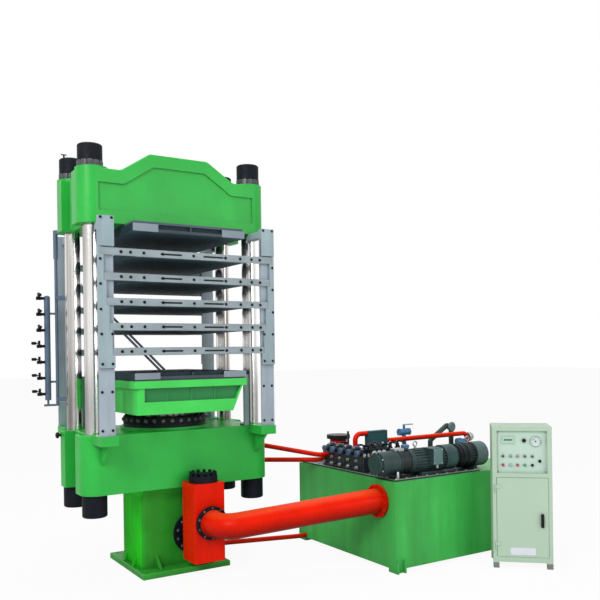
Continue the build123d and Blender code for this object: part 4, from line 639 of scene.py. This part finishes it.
def bend(corners, radius, steps=6):
    """Points of a line through the corners, each corner rounded."""
    corners = [Vector(c) for c in corners]
    points = [corners[0]]
    for n in range(1, len(corners) - 1):
        here = corners[n]
        back = (corners[n - 1] - here).normalized()
        onward = (corners[n + 1] - here).normalized()
        reach = min(radius, (corners[n - 1] - here).length / 2, (corners[n + 1] - here).length / 2)
        for k in range(steps + 1):
            t = k / steps
            points.append(here + (1 - t) ** 2 * reach * back + t**2 * reach * onward)
    points.append(corners[-1])
    return points


# Bolts of the racks and the hanger bars, in X and Z. The racks' are mirrored to the left and the back.

RACK_BOLT, BAR_BOLT = (0.0085, 0.009), (0.0095, 0.008)
PLATE_FACE, COVER_FACE, POST_FACE, BAR_FACE = 0.612, 0.618, 0.59, 0.6115
COVER_FOOT = 2.6
PLATE_BOLTS = (
    (0.650, 2.806), (0.735, 2.806), (0.738, 2.496), (0.738, 2.31), (0.738, 2.12), (0.735, 1.935),
    (0.652, 1.935), (0.730, 1.71), (0.652, 1.71),
)
POST_BOLTS = ((0.652, 1.21), (0.652, 1.50), (0.730, 1.21), (0.730, 1.50))
BAR_BOLTS = (-0.578, -0.504, -0.398, -0.245, 0.017, 0.298, 0.433, 0.539, 0.617)
TOP_BAR, BAR_PITCH = 2.5560222, 0.1883066

heads = Shape()
for side in (-1, 1):
    for face in (-1, 1):
        for x, z in PLATE_BOLTS:
            proud = COVER_FACE if face < 0 and z > COVER_FOOT else PLATE_FACE
            heads.bolt((side * x, face * proud, z), face * Y, *RACK_BOLT)
        for x, z in POST_BOLTS:
            heads.bolt((side * x, face * POST_FACE, z), face * Y, *RACK_BOLT)
piece("rack_bolts", heads, "black")
for n in range(5):
    heads = Shape()
    for x in BAR_BOLTS:
        for face in (-1, 1):
            heads.bolt((x, face * BAR_FACE, TOP_BAR - n * BAR_PITCH), face * Y, *BAR_BOLT)
    piece(f"bar_bolts_{n + 1}", heads, "black", f"platen_{n + 1}")

# Tank: lid rim, lid screws, a lifting pin and weld beads

RIM_RADIUS, RIM_SINK = 0.0045, 0.001
LID_SCREW = (0.008, 0.008)
END_INSET, SIDE_INSET = 0.03, 0.025
LONG_ROW, SHORT_ROW = 9, 12
LIFTING_PIN = ((0.012, 0), (0.012, 0.05), (0.008, 0.058))
WELD_X, WELD_Y, WELD_Z, WELD_RADIUS = (1.3505, 2.9455), (-1.4495, -0.0305), (0.032, 0.3, 0.728), 0.0042

(lid_left, lid_front, _), (lid_right, lid_back, lid_top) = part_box("tank_lid")
rim_height = lid_top - RIM_SINK
corners = [(lid_left, lid_front), (lid_right, lid_front), (lid_right, lid_back), (lid_left, lid_back)]
rim = Shape().tube([(x, y, rim_height) for x, y in corners], RIM_RADIUS, 8, True)
piece("lid_rim", rim, "steel")
screws = Shape()
for n in range(LONG_ROW):
    x = lid_left + END_INSET + n * (lid_right - lid_left - 2 * END_INSET) / (LONG_ROW - 1)
    for y in (lid_front + SIDE_INSET, lid_back - SIDE_INSET):
        screws.bolt((x, y, lid_top), Z, *LID_SCREW)
for n in range(1, SHORT_ROW):
    y = lid_front + SIDE_INSET + n * (lid_back - lid_front - 2 * SIDE_INSET) / SHORT_ROW
    screws.bolt((lid_left + SIDE_INSET, y, lid_top), Z, *LID_SCREW)
pin_place = (lid_left + 0.055, lid_front + 0.03, lid_top)
screws.lathe(pin_place, Z, LIFTING_PIN, 12)
piece("lid_screws", screws, "steel")
welds = Shape()
for y in WELD_Y:
    for x in WELD_X:
        welds.tube([(x, y, z) for z in WELD_Z], WELD_RADIUS, 8)
piece("tank_welds", welds, "green")

# Pump sets: end grilles, joint rings, clamp bolts, eye bolts, and the lid and gland of the terminal box

AXIS_Y, AXIS_Z = -1.295, 0.861
FAN_ENDS, JOINTS, BELLS, PUMP_END = (2.091, 2.452), (1.485, 1.592, 2.176, 2.236), (1.605, 2.246), 1.295
GUARD = ((0.107, 0), (0.107, 0.003), (0.098, 0.009), (0.088, 0.006), (0.088, 0))
JOINT_RING = ((0.094, -0.004), (0.1065, -0.004), (0.1065, 0.008), (0.094, 0.008))
GRILLE_RADII, GRILLE_WIRE, GRILLE_OUT = (0.075, 0.055, 0.035), 0.0035, 0.004
EYE_STEM, EYE_RADIUS, EYE_WIRE = ((0.013, 0), (0.013, 0.02), (0.007, 0.022), (0.007, 0.034)), 0.02, 0.006
EYES, EYE_FOOT, EYE_CENTRE = (1.70, 2.30), 0.088, 0.138
BELL_STUDS, PUMP_STUDS = (0.094, 8, 0.007, 0.012), (0.091, 6, 0.006, 0.01)  # reach, count, radius, height
BOX_X, BOX_FACE, BOX_MIDDLE, BOX_SCREW = 1.83, -1.435, AXIS_Z + 0.034, 0.005
BOX_LID = (-0.049, -0.065, -0.001), (0.049, 0.065, 0.006), 0.004
CABLE_GLAND = ((0.013, -0.01), (0.013, 0.022), (0.009, 0.03))


def on_axis(x, up=0.0):
    return Vector((x, AXIS_Y, AXIS_Z + up))


rings, lids, studs = Shape(), Shape(), Shape()
for fan_end in FAN_ENDS:
    rings.lathe(on_axis(fan_end), X, GUARD, 36)
    for radius in GRILLE_RADII:
        rings.tube(circle(on_axis(fan_end + GRILLE_OUT), Y, Z, radius, 28), GRILLE_WIRE, 6, True)
for joint in JOINTS:
    rings.lathe(on_axis(joint), X, JOINT_RING, 36)
piece("fan_grilles", rings, "motor")
for bell in BELLS:
    studs.bolts(on_axis(bell), Y, Z, -X, *BELL_STUDS)
studs.bolts(on_axis(PUMP_END), Y, Z, -X, *PUMP_STUDS)
for x in EYES:
    studs.lathe(on_axis(x, EYE_FOOT), Z, EYE_STEM, 12)
    studs.tube(circle(on_axis(x, EYE_CENTRE), X, Z, EYE_RADIUS, 20), EYE_WIRE, 8, True)
for x in (BOX_X - 0.041, BOX_X + 0.041):
    for z in (BOX_MIDDLE - 0.055, BOX_MIDDLE + 0.055):
        studs.bolt((x, BOX_FACE - 0.006, z), -Y, BOX_SCREW, BOX_SCREW)
studs.lathe((BOX_X, BOX_FACE + 0.015, BOX_MIDDLE - 0.068), -Z, CABLE_GLAND, 12)
piece("motor_studs", studs, "steel")
lids.block((BOX_X, BOX_FACE, BOX_MIDDLE), (X, Z, -Y), *BOX_LID)
piece("terminal_lids", lids, "cover")

# Valve bank: caps and unions, coils, hoses, and a plate and a gauge on the first bell

VALVES, ARM_VALVES, LOOPS = 5, 4, (0, 1, 3)
VALVE_START, VALVE_PITCH, VALVE_X, VALVE_TOP = -1.0, 0.124, 1.445, 0.937
COIL_REACH, COIL_Z, CAP_REACH = 0.093, 0.906, 0.03
ARM_START, ARM_PITCH, ARM_Y, ARM_FRONT = 1.505, 0.0825, -0.985, -1.0
LOOP_X, LOOP_TOP, LOOP_OUT, LOOP_FOOT = 1.465, 0.95, 1.58, 0.80
TOP_CAP, SIDE_CAP, STEP_CAP, ARM_CAP = (0.011, 0.012), (0.012, 0.018), (0.012, 0.014), (0.015, 0.016)
VALVE_BLOCK = (-0.016, -0.02, -0.001), (0.016, 0.02, 0.016), 0.003
BELL_PLATE = (-0.05, -0.03, -0.02), (0.05, 0.03, 0.012), 0.003
COIL = ((0.027, -0.018), (0.027, 0.0), (0.022, 0.004))
CARTRIDGE = ((0.012, -0.002), (0.012, 0.014), (0.007, 0.02))
ELBOW_TOP = ((0.014, 0), (0.014, 0.02), (0.011, 0.026))
ELBOW_SIDE = ((0.014, 0), (0.014, 0.016), (0.011, 0.022))
UNION = ((0.015, -0.002), (0.015, 0.016), (0.012, 0.022), (0.012, 0.032))
PORT_UNION = ((0.014, 0), (0.014, 0.014), (0.019, 0.014), (0.019, 0.034))
GAUGE = ((0.02, -0.03), (0.02, 0), (0.034, 0), (0.034, 0.022), (0.028, 0.026))
LOOP_RADIUS, HOSE_RADIUS = 0.009, 0.0085
LOOP_BEND, PORT_BEND, LID_BEND = 0.045, 0.06, 0.05
PORT_SLOPE = Vector((0, 0.745, 0.667))
PORT_START, PORT_PITCH, PORT_REACH = 1.34, 0.05, 0.096
PORT_HOSES = (1.405, 1.445, 1.485)
LID_UNION_Y, LID_UNION_Z, HOSE_LEAN = -1.09, 0.745, 0.035

caps, coils, hoses = Shape(), Shape(), Shape()
for n in range(VALVES):
    y = VALVE_START + (n + 0.5) * VALVE_PITCH
    for x in (VALVE_X - CAP_REACH, VALVE_X + CAP_REACH):
        caps.bolt((x, y, VALVE_TOP), Z, *TOP_CAP)
    coils.block((VALVE_X, y, VALVE_TOP), (X, Y, Z), *VALVE_BLOCK)
    for way in (-1, 1):
        coils.lathe((VALVE_X + way * COIL_REACH, y, COIL_Z), way * X, COIL, 18)
    caps.bolt((1.355, y, 0.787), -X, *SIDE_CAP)
    caps.bolt((1.385, y + 0.045, 0.835), -X, *STEP_CAP)
for n in range(ARM_VALVES):
    x = ARM_START + (n + 0.5) * ARM_PITCH
    caps.lathe((x, -0.95, 0.969), Z, CARTRIDGE, 6)
    caps.bolt((x, ARM_FRONT, 0.83), -Y, *ARM_CAP)
for n in LOOPS:
    y = VALVE_START + (n + 1) * VALVE_PITCH
    caps.lathe((LOOP_X, y, 0.873), Z, ELBOW_TOP, 6)
    caps.lathe((1.503, y, LOOP_FOOT), X, ELBOW_SIDE, 6)
    loop = [
        (1.51, y, LOOP_FOOT), (LOOP_OUT, y, LOOP_FOOT), (LOOP_OUT, y, LOOP_TOP), (LOOP_X, y, LOOP_TOP),
        (LOOP_X, y, 0.885),
    ]
    hoses.tube(bend(loop, LOOP_BEND), LOOP_RADIUS, 10)
for n, x in enumerate(PORT_HOSES):
    caps.lathe((x, ARM_Y, 0.875), Z, UNION, 6)
    port = on_axis(PORT_START + n * PORT_PITCH) + PORT_REACH * PORT_SLOPE
    caps.lathe(port, PORT_SLOPE, PORT_UNION, 6)
    crest = (x, ARM_Y, 0.98 + 0.012 * n)
    loop = [(x, ARM_Y, 0.89), crest, port + 0.12 * PORT_SLOPE, port + 0.03 * PORT_SLOPE]
    hoses.tube(bend(loop, PORT_BEND), HOSE_RADIUS, 10)
for n in range(ARM_VALVES - 1):
    x = ARM_START + (n + 1) * ARM_PITCH
    foot_x = x + HOSE_LEAN
    for place in ((x, ARM_Y, 0.865), (foot_x, LID_UNION_Y, LID_UNION_Z)):
        caps.lathe(place, Z, UNION, 6)
    crest = (x, ARM_Y - 0.005, 0.985 + 0.01 * n)
    loop = [(x, ARM_Y, 0.88), crest, (foot_x, LID_UNION_Y, 0.975), (foot_x, LID_UNION_Y, LID_UNION_Z + 0.02)]
    hoses.tube(bend(loop, LID_BEND), HOSE_RADIUS, 10)
caps.block((1.505, AXIS_Y, 0.965), (X, Y, Z), *BELL_PLATE)
coils.lathe((1.592, AXIS_Y, 0.975), Z, GAUGE, 20)
piece("bank_caps", caps, "steel")
piece("bank_coils", coils, "coil")
piece("bank_hoses", hoses, "plastic")

# Return pipe: a cock, the flange behind its elbow, and a flange on the crest of the bent pipe by it

COCK = ((0.03, 0), (0.036, 0.006), (0.036, 0.05), (0.028, 0.06), (0.028, 0.118))
RETURN_FLANGE = ((0.04, 0), (0.045, 0.005), (0.045, 0.03), (0.03, 0.04), (0.03, 0.055))
CREST_FLANGE = (
    (0.034, 0), (0.034, 0.028), (0.048, 0.030), (0.048, 0.044), (0.042, 0.05), (0.026, 0.05), (0.022, 0.044),
)

piece("return_cock", Shape().lathe((2.70, -0.75, 0.89), X, COCK, 18), "valve_blue")
flange = Shape().lathe((2.845, -0.75, 0.93), X, RETURN_FLANGE, 18)
piece("return_flange", flange, "steel")
flange = Shape().lathe((2.688, -0.655, 1.032), (0.15, -1, 0), CREST_FLANGE, 24)
piece("crest_flange", flange, "cover")

# Screws round the gland ring, the prefill valve's pipe ring and port flange, and weld beads on the large pipe

GLAND_RADIUS, GLAND_Z, GLAND_SCREWS, GLAND_SCREW = 0.35, 1.232, 30, (0.013, 0.012)
PIPE_SCREWS, PORT_SCREWS = (0.119, 10, 0.008, 0.009), (0.139, 12, 0.011, 0.012)  # reach, count, radius, height
PIPE_FRONT, PORT_CENTRE = Vector((0.116, -0.686, 0.428)), Vector((0.104, -0.334, 0.290))
BEAD_RADIUS, BEAD_WIRE = 0.1015, 0.005

screws = Shape()
for a in angles(GLAND_SCREWS, 0.5):
    spoke = Vector((math.cos(a), math.sin(a), 0))
    screws.bolt(GLAND_RADIUS * spoke + GLAND_Z * Z, spoke, *GLAND_SCREW)
piece("gland_screws", screws, "ring")
screws = Shape()
screws.bolts(PIPE_FRONT, X, Z, -Y, *PIPE_SCREWS)
screws.bolts(PORT_CENTRE, X, Z, -Y, *PORT_SCREWS)
piece("ring_screws", screws, "ring")
beads = Shape()
for centre, axis in (((0.116, -0.689, 0.428), Y), ((1.323, -1.236, 0.553), X)):
    beads.tube(circle(Vector(centre), Z.cross(axis), Z, BEAD_RADIUS, 40), BEAD_WIRE, 8, True)
piece("pipe_welds", beads, "red")

# Knob and nipple on the left of the lower crosshead

BLEED_KNOB = ((0.012, -0.004), (0.012, 0.02), (0.024, 0.02), (0.026, 0.034), (0.018, 0.042))
knob = Shape().lathe((-0.815, 0.27, 1.115), -X, BLEED_KNOB, 16)
piece("bleed_knob", knob, "plastic")

# Grips on the steam levers: the first three point forward, the others to the left

LEVERS_FORWARD = 3
LEVER_X, LEVER_Y, LEVER_HALF = -0.952, 0.392, 0.0045
GRIP = ((0.009, 0.024), (0.013, 0.027), (0.013, 0.059), (0.009, 0.0635))

for n in range(1, 8):
    hub = Vector((LEVER_X, LEVER_Y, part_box(f"steam_lever_{n}")[0][2] + LEVER_HALF))
    grip = Shape().lathe(hub, -Y if n <= LEVERS_FORWARD else -X, GRIP, 14)
    piece(f"lever_grip_{n}", grip, "plastic", f"steam_lever_{n}")

# Cabinet: lamp lenses, bezels, display, dial, meter and label plate. Places on its front are in millimetres.

CABINET_TURN = math.radians(-43.4)
CABINET_FOOT = Vector((2.121, -1.760, 0))
COLUMN_X, LAMP_Z, BUTTON_Z = (86, 145, 200, 257, 316), 909, 837
METER_X, METER_Z, DISPLAY_X, DISPLAY_Z = 343, 1029, 128, 1041
MARKS, FIRST_MARK, MARK_STEP, NEEDLE_ANGLE = 11, math.radians(210), math.radians(24), 2.2
LENS = ((0.0085, -0.001), (0.0085, 0.003), (0.0055, 0.0055))
PANEL_SCREW = ((0.005, -0.001), (0.005, 0.002), (0.003, 0.003))
DIAL_KNOB = ((0.015, -0.001), (0.015, 0.008), (0.011, 0.011))
BEZEL_RADIUS, BEZEL_WIRE, METER_RADIUS, METER_WIRE = 0.0115, 0.002, 0.041, 0.0025
DISPLAY = (-0.047, -0.026, 0), (0.047, 0.026, 0.001)
DIGIT = (-0.0035, -0.008, -0.0002), (0.0035, 0.008, 0.0006)
METER_FACE = ((0.0385, -0.0005), (0.0385, 0.0012))
MARK = (0.026, -0.0012, -0.0002), (0.035, 0.0012, 0.0005)
NEEDLE = (-0.008, -0.0014, -0.0002), (0.028, 0.0014, 0.0007)
NEEDLE_HUB = ((0.006, -0.0004), (0.006, 0.002))
LABEL = (-0.1, -0.03, -0.0005), (0.1, 0.03, 0.0015), 0.0008
RIVET = ((0.0025, -0.0005), (0.002, 0.001))
DIGITS, FIRST_DIGIT, DIGIT_STEP = 7, 98, 10
LABEL_X, LABEL_Z, RIVET_REACH, RIVET_RISE = 233, 140, 95, 25

along = Vector((math.cos(CABINET_TURN), math.sin(CABINET_TURN), 0))
outward = Vector((math.sin(CABINET_TURN), -math.cos(CABINET_TURN), 0))
front_axes = (along, Z, outward)


def cab(x, z, out):
    """A point on the cabinet: across, up, and out from the front face."""
    return CABINET_FOOT + (x * along + z * Z + out * outward) / 1000


for n, (x, look) in enumerate(zip(COLUMN_X, ("dark", "green", "orange", "dark", "dark")), 1):
    lens = Shape().lathe(cab(x, LAMP_Z, -15), outward, LENS, 18)
    piece(f"lamp_lens_{n}", lens, f"lens_{look}")
bezels = Shape()
for x in COLUMN_X:
    for z, out in ((LAMP_Z, -16), (BUTTON_Z, -19.5)):
        bezels.tube(circle(cab(x, z, out), along, Z, BEZEL_RADIUS, 24), BEZEL_WIRE, 6, True)
bezels.tube(circle(cab(METER_X, METER_Z, -15.5), along, Z, METER_RADIUS, 36), METER_WIRE, 6, True)
for x in (50, 417):
    for z in (786, 1103):
        bezels.lathe(cab(x, z, -24), outward, PANEL_SCREW, 12)
piece("panel_bezels", bezels, "steel")
glass = Shape().block(cab(DISPLAY_X, DISPLAY_Z, -19.8), front_axes, *DISPLAY)
piece("display_glass", glass, "screen")
digits = Shape()
for k in range(DIGITS):
    digits.block(cab(FIRST_DIGIT + DIGIT_STEP * k, DISPLAY_Z, -18.8), front_axes, *DIGIT)
piece("display_bars", digits, "ink")
knob = Shape().lathe(cab(252, 1037, -18), outward, DIAL_KNOB, 20)
piece("dial_knob", knob, "plastic")
face = Shape().lathe(cab(METER_X, METER_Z, -18), outward, METER_FACE, 36)
piece("meter_face", face, "dial")


def meter_axes(angle):
    spoke = math.cos(angle) * along + math.sin(angle) * Z
    side = math.cos(angle) * Z - math.sin(angle) * along
    return spoke, side, outward


marks = Shape()
for k in range(MARKS):
    marks.block(cab(METER_X, METER_Z, -16.8), meter_axes(FIRST_MARK - MARK_STEP * k), *MARK)
marks.block(cab(METER_X, METER_Z, -16.4), meter_axes(NEEDLE_ANGLE), *NEEDLE)
marks.lathe(cab(METER_X, METER_Z, -16.6), outward, NEEDLE_HUB, 14)
piece("meter_marks", marks, "ink")
plate = Shape().block(cab(LABEL_X, LABEL_Z, 3), front_axes, *LABEL)
piece("label_plate", plate, "plate", "cabinet_door")
rivets = Shape()
for x in (LABEL_X - RIVET_REACH, LABEL_X + RIVET_REACH):
    for z in (LABEL_Z - RIVET_RISE, LABEL_Z + RIVET_RISE):
        rivets.lathe(cab(x, z, 4.4), outward, RIVET, 10)
piece("label_rivets", rivets, "steel", "cabinet_door")

# Floor, sky and lamps

FLOOR_HALF = 60.0
FLOOR_GLOW = 0.93  # share of plain white in what the camera sees of the floor
SKY_LIGHT = 0.45
WHITE = (1, 1, 1, 1)


def floor():
    corners = [(u * FLOOR_HALF, v * FLOOR_HALF, 0) for u, v in ((-1, -1), (1, -1), (1, 1), (-1, 1))]
    mesh = bpy.data.meshes.new("floor")
    mesh.from_pydata(corners, [], [(0, 1, 2, 3)])
    plane = link(bpy.data.objects.new("floor", mesh))
    material, tree, shader = new_material("floor")
    shader.inputs["Base Color"].default_value = (0.86, 0.86, 0.86, 1)
    shader.inputs["Roughness"].default_value = 0.9
    shader.inputs["Specular IOR Level"].default_value = 0.1
    glow = add(tree, "ShaderNodeEmission")
    glow.inputs["Strength"].default_value = 1.0
    blend = add(tree, "ShaderNodeMixShader")
    seen = add(tree, "ShaderNodeLightPath").outputs["Is Camera Ray"]
    wire(tree, product(tree, seen, FLOOR_GLOW), blend.inputs["Fac"])
    wire(tree, shader.outputs["BSDF"], blend.inputs[1])
    wire(tree, glow.outputs["Emission"], blend.inputs[2])
    wire(tree, blend.outputs["Shader"], tree.nodes["Material Output"].inputs["Surface"])
    mesh.materials.append(material)


def sky():
    """White where it is seen, and dimmer as a light."""
    world = bpy.data.worlds.new("studio")
    bpy.context.scene.world = world
    world.use_nodes = True
    tree = world.node_tree
    light = tree.nodes["Background"]
    light.inputs["Color"].default_value = WHITE
    light.inputs["Strength"].default_value = SKY_LIGHT
    white = add(tree, "ShaderNodeBackground")
    white.inputs["Color"].default_value = WHITE
    white.inputs["Strength"].default_value = 1.0
    path = add(tree, "ShaderNodeLightPath")
    seen = maths(tree, "MAXIMUM", path.outputs["Is Camera Ray"], path.outputs["Is Glossy Ray"])
    seen = maths(tree, "MAXIMUM", seen, path.outputs["Is Transmission Ray"])
    blend = add(tree, "ShaderNodeMixShader")
    wire(tree, seen, blend.inputs["Fac"])
    wire(tree, light.outputs["Background"], blend.inputs[1])
    wire(tree, white.outputs["Background"], blend.inputs[2])
    wire(tree, blend.outputs["Shader"], tree.nodes["World Output"].inputs["Surface"])


def softbox(name, place, aim, dimensions, power):
    data = bpy.data.lights.new(name, "AREA")
    data.shape = "RECTANGLE"
    data.size, data.size_y = dimensions
    data.energy = power
    lamp = link(bpy.data.objects.new(name, data))
    lamp.location = place
    lamp.rotation_euler = (Vector(aim) - Vector(place)).to_track_quat("-Z", "Y").to_euler()


floor()
sky()
softbox("key", (-6.5, -5.0, 6.5), (0.3, 0, 1.6), (4.0, 4.0), 430)
softbox("fill", (3.5, -9.0, 3.5), (1.0, 0, 1.4), (5.0, 4.0), 170)
softbox("top", (1.0, 0.5, 8.5), (1.0, 0, 0), (5.0, 5.0), 200)

bpy.context.scene.view_settings.view_transform = "Standard"
